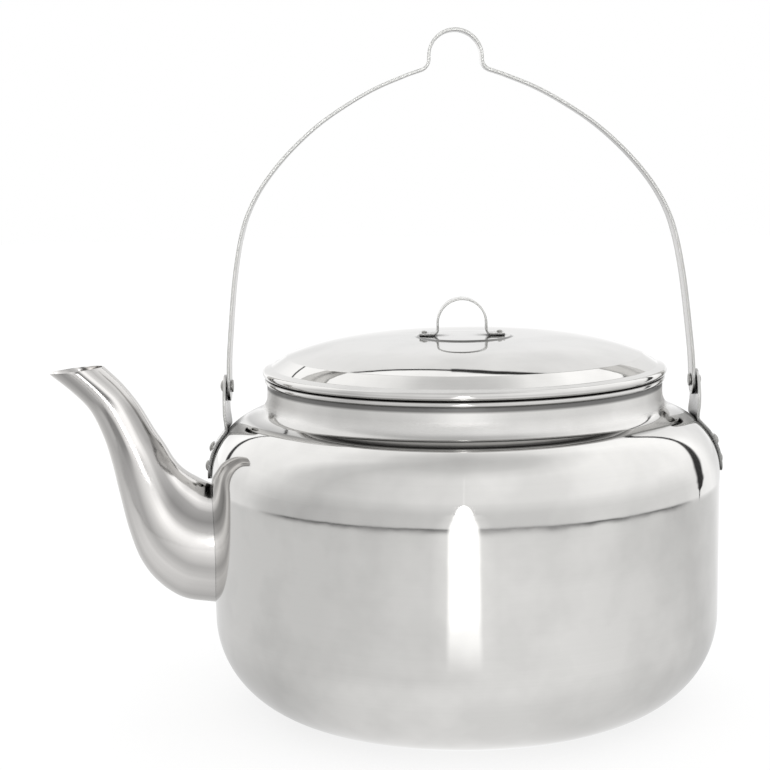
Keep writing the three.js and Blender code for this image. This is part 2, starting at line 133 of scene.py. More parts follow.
class LidSizes(PropertyGroup):
    """The lift-off lid and the collar under it."""
    overhang: length("Overhang", 0.9, "How far the lid stands out over the rim's roll")
    curl: length("Edge roll", 2, "Radius of the lid's rolled edge")
    brim_width: length("Brim width", 4.4, "Width of the outer slope")
    brim_slope: slant("Brim slope", 14, "Slope of the outer brim")
    step_width: length("Step width", 7.3, "Width of the steep step inside the brim")
    step_slope: slant("Step slope", 34, "Slope of the step")
    dome_rise: length("Dome rise", 8.2, "Rise of the dome above the step")
    dome_edge_slope: slant("Dome edge slope", 20, "Slope of the dome where it meets the step")
    seat_margin: length("Seat margin", 0.5, "Flat seat left round the finger loop's feet")
    seat_height: length("Seat height", 0.6, "Rise of the pressed seat under the finger loop")
    collar_clearance: length("Collar clearance", 0.6, "Air between collar and rim")
    collar_depth: length("Collar depth", 9, "How deep the collar reaches below the rim's centre")
    collar_flange: length("Collar flange", 7, "Width of the collar's flange under the step")


class LoopSizes(PropertyGroup):
    """The finger loop on the lid."""
    width: length("Strip width", 9, "Width of the loop's strip")
    thickness: length("Strip thickness", 1, "Thickness of the loop's strip")
    loop_width: length("Loop width", 24.8, "Outside width of the round part")
    loop_height: length("Loop height", 18.3, "Height of the loop above its feet's underside")
    span: length("Span", 41.8, "Length over both feet")
    shift: length("Shift", -1.2, "Place of the loop along the lid, from its centre")
    foot_fillet: length("Foot fillet", 1.8, "Bend between foot and loop")
    rivet_inset: length("Rivet inset", 2.4, "From the end of a foot to its rivet")
    head: length("Rivet head", 3, "Diameter of the rivets' heads")
    shank: length("Rivet shank", 1.8, "Diameter of the rivets' shanks")
    dome: length("Rivet dome", 0.8, "Height of the rivets' heads")


class BailSizes(PropertyGroup):
    """The swinging bail: a flat strip bent to its outline."""
    width: length("Strip width", 14.5, "Width of the bail's strip")
    thickness: length("Strip thickness", 1.5, "Thickness of the bail's strip")
    pivot_rise: length("Pivot rise", 42.5, "Height of the pivots above the wall's top")
    rise: length("Rise", 153.5, "Height of the arch above the pivots, without its hump")
    shift: length("Shift", -1.4, "Place of the bail along the kettle, from its centre")
    lean: length("Lean", -2, "How far the top leans towards the spout")
    hump_height: length("Hump height", 18.2, "Rise of the hanging hump over the arch")
    hump_width: length("Hump width", 27, "Outside width of the hump")
    hump_fillet: length("Hump fillet", 4.5, "Bend between arch and hump")
    edge: length("Edge rounding", 0.25, "Rounding of the strip's sheared edges")


class EarSizes(PropertyGroup):
    """The riveted ears that carry the bail."""
    inset: length("Inset", 9.9, "How far the uprights stand in from the widest line")
    width: length("Width", 26, "Width of an ear")
    thickness: length("Thickness", 1.4, "Thickness of an ear")
    top: length("Top", 5.6, "Height of an ear above the pivot")
    foot_drop: length("Foot drop", 1.9, "How far the foot reaches below the wall's top")
    corner: length("Corner", 5, "Radius of the foot's corners")
    bend: length("Bend", 3, "Inside radius between foot and upright")
    rivet_edge: length("Rivet edge", 4.8, "From the foot's end to the lower rivet")
    rivet_pitch: length("Rivet pitch", 8.9, "Between an ear's two rivets")


class RivetSizes(PropertyGroup):
    """The rivets of the ears and of the bail."""
    head: length("Head", 5.4, "Diameter of an ear rivet's head")
    dome: length("Dome", 1.5, "Height of an ear rivet's head")
    shank: length("Shank", 3.6, "Diameter of an ear rivet's shank")
    pivot_head: length("Pivot head", 6.2, "Diameter of a pivot rivet's head")
    pivot_dome: length("Pivot dome", 1.7, "Height of a pivot rivet's head")
    pivot_shank: length("Pivot shank", 3.8, "Diameter of a pivot rivet's shank")
    clearance: length("Clearance", 0.3, "Air round a shank in its hole")


class Finishes(PropertyGroup):
    """The steel's colours."""
    polished: tint("Polished sheet", "#CECDCB", "Mirror-polished stainless of pot and lid")
    satin: tint("Satin sheet", "#CDCBC9", "Satin stainless of spout and collar")
    strip: tint("Strip", "#D6D5D3", "Bright rolled strip of bail, ears and finger loop")
    sheared: tint("Sheared edge", "#B6B6B4", "The strip's sheared edges")
    rivet: tint("Rivets", "#A3A29F", "Headed stainless wire")
    floor: tint("Floor", "#FFFFFF", "White sweep under the kettle")


class StageSizes(PropertyGroup):
    """Floor, light tent and camera."""
    floor_radius: length("Table radius", 591, "Radius of the white table top")
    seam: length("Table seam", 7, "Width of the dark joint between table top and surround")
    surround: length("Surround", 4000, "Radius of the white surround")
    slit_strength: FloatProperty(name="Slit strength", default=2.3, min=0.0,
                                 description="Brightness of the light at the tent's slit")
    sweep_bearing: slant("Sweep bearing", 172.4, "Bearing of the bright sweep behind the kettle")
    sweep_half_width: slant("Sweep half width", 48.2, "Half the sweep's width, as a bearing")
    sweep_height: slant("Sweep height", 45, "Height of the sweep's top above the horizon")
    sweep_shape: FloatProperty(name="Sweep shape", default=1.6, min=1.0, max=4.0,
                               description="Power of the sweep's oval: 2 is an ellipse")
    far_slit: FloatProperty(name="Far slit strength", default=9.0, min=0.0,
                            description="Brightness of the tent's slit beyond the table top")
    camera_distance: length("Camera distance", 873.1, "From the kettle's axis")
    camera_height: length("Camera height", 279.8, "Above the table")
    camera_side: length("Camera side", 0.5, "Across the view, from the kettle's axis")
    camera_pitch: slant("Camera pitch", 8.02, "Downward tilt of the camera")
    camera_roll: slant("Camera roll", -0.516, "Roll of the camera")
    camera_yaw: slant("Camera yaw", 2.2, "How far the kettle is turned to the camera")


# Outlines in a plane, as lists of (across, up)

def arc(centre, radius, start, end, steps):
    """Points on a circle, between two angles in degrees."""
    points = []
    for step in range(steps + 1):
        angle = math.radians(start + (end - start) * step / steps)
        points.append((centre[0] + radius * math.cos(angle), centre[1] + radius * math.sin(angle)))
    return points


def rounded(points, radius, steps=6):
    """The same open line with each inner corner turned into an arc of about the given radius."""
    line = [points[0]]
    for before, corner, after in zip(points, points[1:], points[2:]):
        corner = Vector(corner)
        back = Vector(before) - corner
        on = Vector(after) - corner
        turn = math.pi - back.angle(on)
        reach = min(radius * math.tan(turn / 2), 0.45 * back.length, 0.45 * on.length)
        start = corner + back.normalized() * reach
        end = corner + on.normalized() * reach
        for step in range(steps + 1):
            share = step / steps
            first = start.lerp(corner, share)
            line.append(tuple(first.lerp(corner.lerp(end, share), share)))
    line.append(points[-1])
    return line


def filled(points, longest):
    """The same line with extra points, so that no stretch is longer than asked."""
    line = [points[0]]
    for start, end in zip(points, points[1:]):
        count = max(1, math.ceil(math.dist(start, end) / longest))
        for step in range(1, count + 1):
            share = step / count
            line.append(tuple(a + (b - a) * share for a, b in zip(start, end)))
    return line


def offset_line(points, distance):
    """The line moved sideways, to the right of its direction for a positive distance."""
    moved = []
    for place, (across, up) in enumerate(points):
        before = points[max(place - 1, 0)]
        after = points[min(place + 1, len(points) - 1)]
        run = math.dist(before, after)
        moved.append((across + distance * (after[1] - before[1]) / run,
                      up - distance * (after[0] - before[0]) / run))
    return moved


def mirrored(points):
    """A line that ends in the middle, carried on as its own mirror image."""
    return [*points, *[(-across, up) for across, up in points[-2::-1]]]


def spline(points, steps):
    """A centripetal Catmull-Rom curve through the points, with even steps between each pair."""
    knots = [Vector(point) for point in points]
    knots = [2 * knots[0] - knots[1], *knots, 2 * knots[-1] - knots[-2]]
    line = []
    for a, b, c, d in zip(knots, knots[1:], knots[2:], knots[3:]):
        first, second, third = ((end - start).length ** 0.5 for start, end in ((a, b), (b, c), (c, d)))
        into = ((b - a) / first - (c - a) / (first + second) + (c - b) / second) * second
        out = ((c - b) / second - (d - b) / (second + third) + (d - c) / third) * second
        for step in range(steps):
            t = step / steps
            line.append(tuple((2 * t ** 3 - 3 * t ** 2 + 1) * b + (t ** 3 - 2 * t ** 2 + t) * into
                              + (3 * t ** 2 - 2 * t ** 3) * c + (t ** 3 - t ** 2) * out))
    line.append(tuple(knots[-2]))
    return line


# Meshes and objects

def new_object(name, mesh):
    """A new object of the scene at the origin."""
    thing = bpy.data.objects.new(name, mesh)
    bpy.context.scene.collection.objects.link(thing)
    return thing


def plain_mesh(name, vertices, edges, faces):
    """A mesh from lists, with its faces as they are."""
    mesh = bpy.data.meshes.new(name)
    mesh.from_pydata(vertices, edges, faces)
    mesh.update()
    return mesh


def skin(name, rings, closed):
    """A skin over rings of points: a ring of one point is a pole, and a closed skin ends where it
    began. Each face gets UVs: once round the rings across, and along them in metres."""
    vertices, starts = [], []
    for ring in rings:
        starts.append(len(vertices))
        vertices.extend(ring)
    along = [0.0]
    for ring, following in zip(rings, rings[1:]):
        along.append(along[-1] + math.dist(ring[0], following[0]))
    pairs = list(zip(range(len(rings)), range(1, len(rings))))
    if closed:
        pairs.append((len(rings) - 1, 0))
    faces, places = [], []
    for low, high in pairs:
        sides = max(len(rings[low]), len(rings[high]))
        for side in range(sides):
            corners = [(low, side), (low, side + 1), (high, side + 1), (high, side)]
            face, place = [], []
            for ring, step in corners:
                vertex = starts[ring] + step % len(rings[ring])
                if vertex not in face:
                    face.append(vertex)
                    place.append((step / sides, along[ring]))
            faces.append(face)
            places.append(place)
    mesh = plain_mesh(name, vertices, [], faces)
    layer = mesh.uv_layers.new(name="skin")
    layer.data.foreach_set("uv", [value for place in places for uv in place for value in uv])
    turn_outwards(mesh)
    return new_object(name, mesh)


def turn_outwards(mesh):
    """Turns a closed mesh inside out if its volume is negative."""
    draft = bmesh.new()
    draft.from_mesh(mesh)
    if draft.calc_volume(signed=True) < 0:
        bmesh.ops.reverse_faces(draft, faces=draft.faces)
        draft.to_mesh(mesh)
    draft.free()


def turned(name, profile, steps):
    """A closed outline of (radius, height) turned about the upright axis."""
    rings = []
    for radius, height in profile:
        if radius < 1e-9:
            rings.append([(0.0, 0.0, height)])
            continue
        angles = [2 * math.pi * step / steps for step in range(steps)]
        rings.append([(radius * math.cos(a), radius * math.sin(a), height) for a in angles])
    on_axis = profile[0][0] < 1e-9 and profile[-1][0] < 1e-9
    return skin(name, rings, closed=not on_axis)


def settle(thing):
    """Turns an object's modifiers into its plain mesh."""
    bpy.context.view_layer.update()
    graph = bpy.context.evaluated_depsgraph_get()
    mesh = bpy.data.meshes.new_from_object(thing.evaluated_get(graph))
    thing.modifiers.clear()
    thing.data = mesh
    mesh.name = thing.name
    return thing


def smooth(thing, degrees=32):
    """Smooth shading, with the edges above an angle kept crisp."""
    thing.data.shade_smooth()
    thing.data.set_sharp_from_angle(angle=math.radians(degrees))


def drill(thing, holes):
    """Cuts round holes, each given by its centre, axis, radius and length."""
    vertices, faces = [], []
    sides = 32
    for centre, axis, radius, reach in holes:
        turn = Vector((0, 0, 1)).rotation_difference(Vector(axis))
        start = len(vertices)
        for height in (-reach / 2, reach / 2):
            for side in range(sides):
                angle = 2 * math.pi * side / sides
                point = Vector((radius * math.cos(angle), radius * math.sin(angle), height))
                vertices.append(Vector(centre) + turn @ point)
        for side in range(sides):
            following = (side + 1) % sides
            faces.append([start + side, start + following,
                          start + sides + following, start + sides + side])
        faces.append([start + side for side in reversed(range(sides))])
        faces.append([start + sides + side for side in range(sides)])
    cutter = new_object("drill", plain_mesh("drill", vertices, [], faces))
    cut = thing.modifiers.new("Holes", "BOOLEAN")
    cut.operation = "DIFFERENCE"
    cut.solver = "EXACT"
    cut.object = cutter
    settle(thing)
    bpy.data.objects.remove(cutter)


def dress(thing, body, nodes, recipe):
    """Gives a finished piece its finish, its body and the nodes it stands for."""
    thing.data.materials.clear()
    thing.data.materials.append(finished(recipe))
    smooth(thing)
    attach(thing, body)
    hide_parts(*nodes)


# Nodes of materials and of geometry

def add_node(tree, kind, links=(), stops=(), **settings):
    """Adds a node with its settings, and with a ramp's stops as (place, grey). Links fill the inputs
    in use in their order, or by name, with values, sockets or nodes. A node stands for its first
    output in use."""
    node = tree.nodes.new(kind)
    for key, value in settings.items():
        setattr(node, key, value)
    if stops:
        elements = node.color_ramp.elements
        elements.remove(elements[1])
        elements[0].position = stops[0][0]
        for place, _ in stops[1:]:
            elements.new(place)
        for element, (_, grey) in zip(elements, stops):
            element.color = (grey, grey, grey, 1)
    if isinstance(links, dict):
        pairs = [(node.inputs[key], value) for key, value in links.items()]
    else:
        pairs = zip([socket for socket in node.inputs if socket.enabled], links)
    for socket, value in pairs:
        if isinstance(value, bpy.types.Node):
            value = next(output for output in value.outputs if output.enabled)
        if isinstance(value, bpy.types.NodeSocket):
            tree.links.new(value, socket)
        else:
            socket.default_value = value
    return node


def finished(recipe):
    """The material of a recipe, named for it and built when it is first asked for."""
    name = recipe.__name__.replace("_", " ")
    if name not in bpy.data.materials:
        material = bpy.data.materials.new(name)
        material.use_nodes = True
        material.node_tree.nodes.clear()
        recipe(partial(add_node, material.node_tree), bpy.context.scene.kettle_finishes)
    return bpy.data.materials[name]


def rgba(colour):
    """A colour property with its alpha."""
    return (*colour, 1.0)


def steel_surface(add, tint, shade, roughness, bump, grain=None):
    """The steel shader that all the finishes end in: a tint times its shade."""
    colour = add("ShaderNodeVectorMath", (tint, shade), operation="SCALE")
    links = {"Base Color": colour, "Metallic": 1.0, "Roughness": roughness, "Normal": bump}
    steel = add("ShaderNodeBsdfPrincipled", {**links, **(grain or {})})
    add("ShaderNodeOutputMaterial", [steel])


def corner_shade(add, reach, darkest):
    """Painted shade in inner corners, from ambient occlusion: 1 in the open, darkest in a corner.
    The base, on its floor, is left as it is."""
    open_share = add("ShaderNodeAmbientOcclusion", {"Distance": reach}, samples=8).outputs["AO"]
    shade = add("ShaderNodeMapRange", (open_share, 0.55, 0.93, darkest, 1.0))
    place = add("ShaderNodeTexCoord").outputs["Object"]
    up = add("ShaderNodeSeparateXYZ", [place]).outputs["Z"]
    low = add("ShaderNodeMapRange", (up, 45 * MM, 25 * MM))
    return add("ShaderNodeMath", (shade, low), operation="MAXIMUM")


def neck_zone(add, height, radius):
    """The neck below its roll, as a soft mask: it is finished with a coarser wheel than the rest, and
    it carries a painted highlight.
    """
    pot = bpy.context.scene.kettle_pot
    neck, fillet = neck_radius(pot), fillet_height(pot)
    top = rim_centre(pot)[1] - 2.5 * MM
    # Each edge of the mask is 2 to 3 mm soft.
    inner = add("ShaderNodeMapRange", (radius, neck + 4.5 * MM, neck + 2 * MM))
    above = add("ShaderNodeMapRange", (height, fillet - 7 * MM, fillet - 4 * MM))
    below = add("ShaderNodeMapRange", (height, top + 2 * MM, top))
    tall = add("ShaderNodeMath", (above, below), operation="MULTIPLY")
    return add("ShaderNodeMath", (inner, tall), operation="MULTIPLY")


def neck_grime(add, height, radius):
    """Painted shade under the rim's roll, and in the groove at the foot of the neck, as a factor."""
    pot = bpy.context.scene.kettle_pot
    off = add("ShaderNodeMath", (height, rim_centre(pot)[1] - 2.2 * MM), operation="SUBTRACT")
    apart = add("ShaderNodeMath", [off], operation="ABSOLUTE")
    # Painted shade in a band under the rim's roll.
    under = add("ShaderNodeMapRange", (apart, 0.9 * MM, 2 * MM, 0.28, 1.0))
    neck = neck_radius(pot) / pot.body_radius
    fillet = pot.neck_fillet / pot.body_radius
    share = add("ShaderNodeMath", (radius, 1 / pot.body_radius), operation="MULTIPLY")
    # Painted shade in the groove at the foot of the neck.
    foot = add("ShaderNodeValToRGB", [share], [
        (neck + fillet * place, grey)
        for place, grey in ((0.2, 1.0), (0.45, 0.9), (0.65, 0.72), (0.92, 0.5), (1.1, 1.0))])
    high = add("ShaderNodeMapRange", (height, pot.wall_top, pot.wall_top + 10 * MM))
    groove = add("ShaderNodeMix", (high, 1.0, foot))
    return add("ShaderNodeMath", (under, groove), operation="MULTIPLY")


def polished_stainless(add, finish):
    # Deep-drawn 18/10 stainless, mirror-polished on a lathe: nearly a mirror, with faint rings of
    # the polishing wheel that stretch highlights up and down, and soft clouds of wax left on it. Its
    # corners, the foot of the lid's seat and the neck carry painted shade, and the neck a painted
    # highlight.
    place = add("ShaderNodeTexCoord").outputs["Object"]
    across, deep, height = add("ShaderNodeSeparateXYZ", [place]).outputs
    flat = add("ShaderNodeCombineXYZ", (across, deep))
    radius = add("ShaderNodeVectorMath", [flat], operation="LENGTH")
    rings = add("ShaderNodeCombineXYZ", (radius, height))
    # Polishing rings are about 0.1 mm apart; they are drawn 0.8 mm apart so that they show.
    ring_pitch = 0.8 * MM
    lines = add("ShaderNodeTexNoise", (rings, 1 / ring_pitch, 2.0, 0.6))
    lined = add("ShaderNodeMapRange", (lines, 0.3, 0.7, 0.985, 1.0))
    cloud_size = 38 * MM
    clouds = add("ShaderNodeTexNoise", (place, 1 / cloud_size, 3.0, 0.55))
    cloudy = add("ShaderNodeMapRange", (clouds, 0.4, 0.62, 1.03, 0.93))
    # Painted shade at the foot of the pressed seat on the lid, in a ring 1.4 mm wide.
    foot = seat_radius(bpy.context.scene) + 0.3 * MM
    off_foot = add("ShaderNodeMath", (radius, foot), operation="SUBTRACT")
    off_ring = add("ShaderNodeMath", [off_foot], operation="ABSOLUTE")
    seat_foot_shade = add("ShaderNodeMapRange", (off_ring, 0.5 * MM, 0.9 * MM, 0.3, 1.0))
    # Painted shade on the neck.
    neck_shade = neck_grime(add, height, radius)
    neck = neck_zone(add, height, radius)
    # A painted highlight: the neck's colour is made 13 percent brighter.
    neck_painted_highlight = add("ShaderNodeMix", (neck, 1.0, 1.13))
    # Painted shade in inner corners.
    corner = corner_shade(add, 10 * MM, 0.32)
    shade = lined
    for factor in (cloudy, seat_foot_shade, corner, neck_shade, neck_painted_highlight):
        shade = add("ShaderNodeMath", (shade, factor), operation="MULTIPLY")
    fine = add("ShaderNodeBump", {"Height": lines, "Strength": 0.02, "Distance": 0.01 * MM})
    swell = add("ShaderNodeBump", {"Height": clouds, "Strength": 0.12, "Distance": 0.4 * MM,
                                   "Normal": fine})
    smeared = add("ShaderNodeMapRange", (clouds, 0.35, 0.7, 0.025, 0.065))
    rougher = add("ShaderNodeMapRange", (corner, 0.5, 1.0, 0.26, 0.0))
    cornered = add("ShaderNodeMath", (smeared, rougher), operation="ADD")
    roughness = add("ShaderNodeMath", (neck, 0.36, cornered), operation="MULTIPLY_ADD")
    steel_surface(add, finish.polished, shade, roughness, swell, {
        "Anisotropic": add("ShaderNodeMix", (neck, 0.45, 0.0)),
        "Tangent": add("ShaderNodeTangent", direction_type="RADIAL", axis="Z")})


def satin_stainless(add, finish):
    # Hand-polished stainless of the spout: satin, with streaks of the belt along its length, and
    # painted reflections along it.
    coordinates = add("ShaderNodeTexCoord").outputs
    # Fine streaks are 2 mm wide, on a spout of about 110 mm girth.
    fine_map = add("ShaderNodeMapping", {"Vector": coordinates["UV"], "Scale": (52, 7, 1)})
    streaks = add("ShaderNodeTexNoise", (fine_map, 1.0, 3.0, 0.6))
    streaky = add("ShaderNodeMapRange", (streaks, 0.3, 0.7, 0.94, 1.0))
    # Painted reflections in broad stripes run along the spout, the same on both sides: 0 is its
    # underside, 1 its top.
    drift_map = add("ShaderNodeMapping", {"Vector": coordinates["UV"], "Scale": (5, 22, 1)})
    drift = add("ShaderNodeTexNoise", (drift_map, 1.0, 2.0))
    girth = add("ShaderNodeSeparateXYZ", [coordinates["UV"]]).outputs["X"]
    wavy = add("ShaderNodeMath", (drift, 0.06, girth), operation="MULTIPLY_ADD")
    off = add("ShaderNodeMath", (wavy, 0.53), operation="SUBTRACT")
    apart = add("ShaderNodeMath", [off], operation="ABSOLUTE")
    side = add("ShaderNodeMath", (apart, 2.0), operation="MULTIPLY")
    reflection_bands = add("ShaderNodeValToRGB", [side], [
        (0.0, 1.1), (0.12, 0.95), (0.185, 0.68), (0.245, 0.55), (0.305, 0.48), (0.365, 0.37),
        (0.425, 0.46), (0.485, 0.78), (0.515, 0.58), (0.54, 0.19), (0.565, 0.24), (0.6, 0.84),
        (0.63, 0.9), (0.665, 0.62), (0.725, 0.46), (0.785, 0.57), (0.845, 0.58), (0.905, 0.61),
        (1.0, 0.55)])
    # From about 30 to 60 mm off the seam, along the spout's top, the bend has painted reflections of
    # its own.
    bend = add("ShaderNodeValToRGB", [side], [
        (0.0, 1.3), (0.12, 1.04), (0.185, 0.71), (0.245, 0.57), (0.305, 0.53), (0.365, 0.57),
        (0.4, 0.34), (0.445, 0.3), (0.475, 0.9), (0.56, 1.0), (0.61, 0.95), (0.66, 0.5),
        (0.725, 0.35), (0.785, 0.33), (0.845, 0.38), (0.905, 0.62), (1.0, 0.55)])
    # Near the seam other painted reflections take over. They fade out 14 to 36 mm off it.
    root_reflections = add("ShaderNodeValToRGB", [side], [
        (0.0, 0.95), (0.12, 0.7), (0.2, 0.6), (0.27, 0.78), (0.34, 0.84), (0.425, 0.56),
        (0.485, 0.8), (0.53, 1.1), (0.56, 1.05), (0.6, 0.5), (0.66, 0.26), (0.72, 0.36),
        (0.77, 0.95), (0.82, 0.7), (1.0, 0.5)])
    along = add("ShaderNodeSeparateXYZ", [drift_map]).outputs["Y"]
    root = add("ShaderNodeValToRGB", [along], [(0.3, 1.0), (0.8, 0.0)])
    half = add("ShaderNodeMath", (along, 0.5), operation="MULTIPLY")
    bent = add("ShaderNodeValToRGB", [half], [(0.28, 0.0), (0.4, 1.0), (0.58, 1.0), (0.68, 0.0)])
    upper = add("ShaderNodeMix", (bent, reflection_bands, bend))
    painted_reflections = add("ShaderNodeMix", (root, upper, root_reflections))
    # The painted reflections, scaled by 1.5.
    bright = add("ShaderNodeMath", (painted_reflections, 1.5), operation="MULTIPLY")
    shade = add("ShaderNodeMath", (streaky, bright), operation="MULTIPLY")
    cloud_size = 24 * MM
    clouds = add("ShaderNodeTexNoise", (coordinates["Object"], 1 / cloud_size, 2.0))
    roughness = add("ShaderNodeMapRange", (clouds, 0.3, 0.7, 0.09, 0.15))
    bump = add("ShaderNodeBump", {"Height": streaks, "Strength": 0.1, "Distance": 0.1 * MM})
    steel_surface(add, finish.satin, shade, roughness, bump)


def rolled_strip_stainless(add, finish):
    # Bright cold-rolled stainless strip: fine grain along its length, and greyer sheared edges.
    coordinates = add("ShaderNodeTexCoord").outputs
    # Rolling grain is about 0.2 mm wide; it is drawn 0.6 mm wide so that it shows.
    grain_width, grain_length = 0.6 * MM, 60 * MM
    grain_map = add("ShaderNodeMapping", {"Vector": coordinates["Object"],
                    "Scale": (1 / grain_length, 1 / grain_width, 1 / grain_length)})
    grain = add("ShaderNodeTexNoise", (grain_map, 1.0, 2.0, 0.6))
    grained = add("ShaderNodeMapRange", (grain, 0.3, 0.7, 0.975, 1.0))
    _, sideways, upwards = add("ShaderNodeSeparateXYZ", [coordinates["Normal"]]).outputs
    either_side = add("ShaderNodeMath", [sideways], operation="ABSOLUTE")
    edge = add("ShaderNodeMapRange", (either_side, 0.6, 0.85, 0.0, 1.0))
    face = add("ShaderNodeVectorMath", (finish.strip, grained), operation="SCALE")
    colour = add("ShaderNodeMix", (edge, face, rgba(finish.sheared)), data_type="RGBA")
    # The undersides are darkened with painted shade.
    under = add("ShaderNodeMapRange", (upwards, -0.7, -0.2, 0.36, 1.0))
    # Painted shade in inner corners and between parts.
    corner = corner_shade(add, 12 * MM, 0.35)
    shade = add("ShaderNodeMath", (under, corner), operation="MULTIPLY")
    roughness = add("ShaderNodeMapRange", (edge, 0.0, 1.0, 0.2, 0.38))
    bump = add("ShaderNodeBump", {"Height": grain, "Strength": 0.05, "Distance": 0.02 * MM})
    steel_surface(add, colour, shade, roughness, bump)


def headed_wire_stainless(add, finish):
    # Rivets headed cold from stainless wire: dull, with the small dents of the header.
    dent_size = 1.4 * MM
    place = add("ShaderNodeTexCoord").outputs["Object"]
    dents = add("ShaderNodeTexNoise", (place, 1 / dent_size, 2.0, 0.5))
    shade = add("ShaderNodeMapRange", (dents, 0.3, 0.7, 0.85, 1.0))
    roughness = add("ShaderNodeMapRange", (dents, 0.3, 0.7, 0.24, 0.4))
    bump = add("ShaderNodeBump", {"Height": dents, "Strength": 0.25, "Distance": 0.12 * MM})
    steel_surface(add, finish.rivet, shade, roughness, bump)


def new_tree(name, inputs):
    """A geometry tree with labelled inputs by kind, its adder of nodes, and its inputs' sockets."""
    tree = bpy.data.node_groups.new(name, "GeometryNodeTree")
    tree.interface.new_socket("Geometry", in_out="OUTPUT", socket_type="NodeSocketGeometry")
    for kind, labels in {"Geometry": ["Geometry"], **inputs, "Material": ["Finish"]}.items():
        for label in labels:
            tree.interface.new_socket(label, in_out="INPUT", socket_type="NodeSocket" + kind)
    return tree, partial(add_node, tree), tree.nodes.new("NodeGroupInput").outputs


def end_tree(add, geometry, finish):
    """Ends a geometry tree: instances realised, material set."""
    real = add("GeometryNodeRealizeInstances", [geometry])
    painted = add("GeometryNodeSetMaterial", {"Geometry": real, "Material": finish})
    add("NodeGroupOutput", [painted])


def run_tree(thing, tree, recipe, values):
    """Puts a geometry tree on an object with its inputs and finish set, and settles it into a mesh."""
    modifier = thing.modifiers.new(tree.name, "NODES")
    modifier.node_group = tree
    given = {**values, "Finish": finished(recipe)}
    for item in tree.interface.items_tree:
        if item.in_out == "INPUT" and item.name in given:
            modifier[item.identifier] = given[item.name]
    return settle(thing)


# Pot

def shoulder_centre(pot):
    """Radius at which the shoulder's circle is centred."""
    return pot.body_radius - pot.shoulder


def neck_radius(pot):
    """Outside radius of the neck."""
    return pot.body_radius - pot.neck_inset


def fillet_height(pot):
    """Height at which the neck starts to be straight."""
    across = neck_radius(pot) + pot.neck_fillet - shoulder_centre(pot)
    return (pot.wall_top + (pot.shoulder + pot.neck_fillet) / math.cos(pot.shoulder_slope)
            - across * math.tan(pot.shoulder_slope))


def rim_centre(pot):
    """Centre of the rim's roll, as (radius, height)."""
    return neck_radius(pot) - pot.sheet / 4, fillet_height(pot) + pot.neck_height


def pot_outline(pot, grow):
    """The pot's outside from the base's flat to the neck, moved outwards by a distance."""
    end = 90 - math.degrees(pot.shoulder_slope)
    base = pot.body_radius - pot.wall_draft - pot.base_corner
    return [
        *arc((base, pot.base_corner), pot.base_corner + grow, -90, 0, 28),
        *arc((shoulder_centre(pot), pot.wall_top), pot.shoulder + grow, 0, end, 26),
        *arc((neck_radius(pot) + pot.neck_fillet, fillet_height(pot)),
             pot.neck_fillet - grow, 180 + end, 180, 14),
    ]


def pot_radius(pot, height, grow):
    """The pot's outside radius at a height on its wall or shoulder."""
    if height > pot.wall_top:
        reach = pot.shoulder + grow
        return shoulder_centre(pot) + math.sqrt(max(reach ** 2 - (height - pot.wall_top) ** 2, 0))
    share = max(height - pot.base_corner, 0) / (pot.wall_top - pot.base_corner)
    return pot.body_radius + grow - pot.wall_draft * (1 - share)


def ear_rivet_heights(scene):
    """Heights of an ear's lower and upper rivet."""
    ear = scene.kettle_ears
    lower = scene.kettle_pot.wall_top - ear.foot_drop + ear.rivet_edge
    return lower, lower + ear.rivet_pitch


def ear_rivet_axes(scene, side):
    """The ear's two rivet places on the shoulder, each with its angle above the horizontal."""
    pot = scene.kettle_pot
    places = []
    for height in ear_rivet_heights(scene):
        angle = math.asin(max(height - pot.wall_top, 0) / pot.shoulder)
        centre = Vector((shoulder_centre(pot), 0, height - pot.shoulder * math.sin(angle)))
        axis = Vector((math.cos(angle), 0, math.sin(angle)))
        places.append((Vector((side * centre.x, 0, centre.z)), Vector((side * axis.x, 0, axis.z))))
    return places


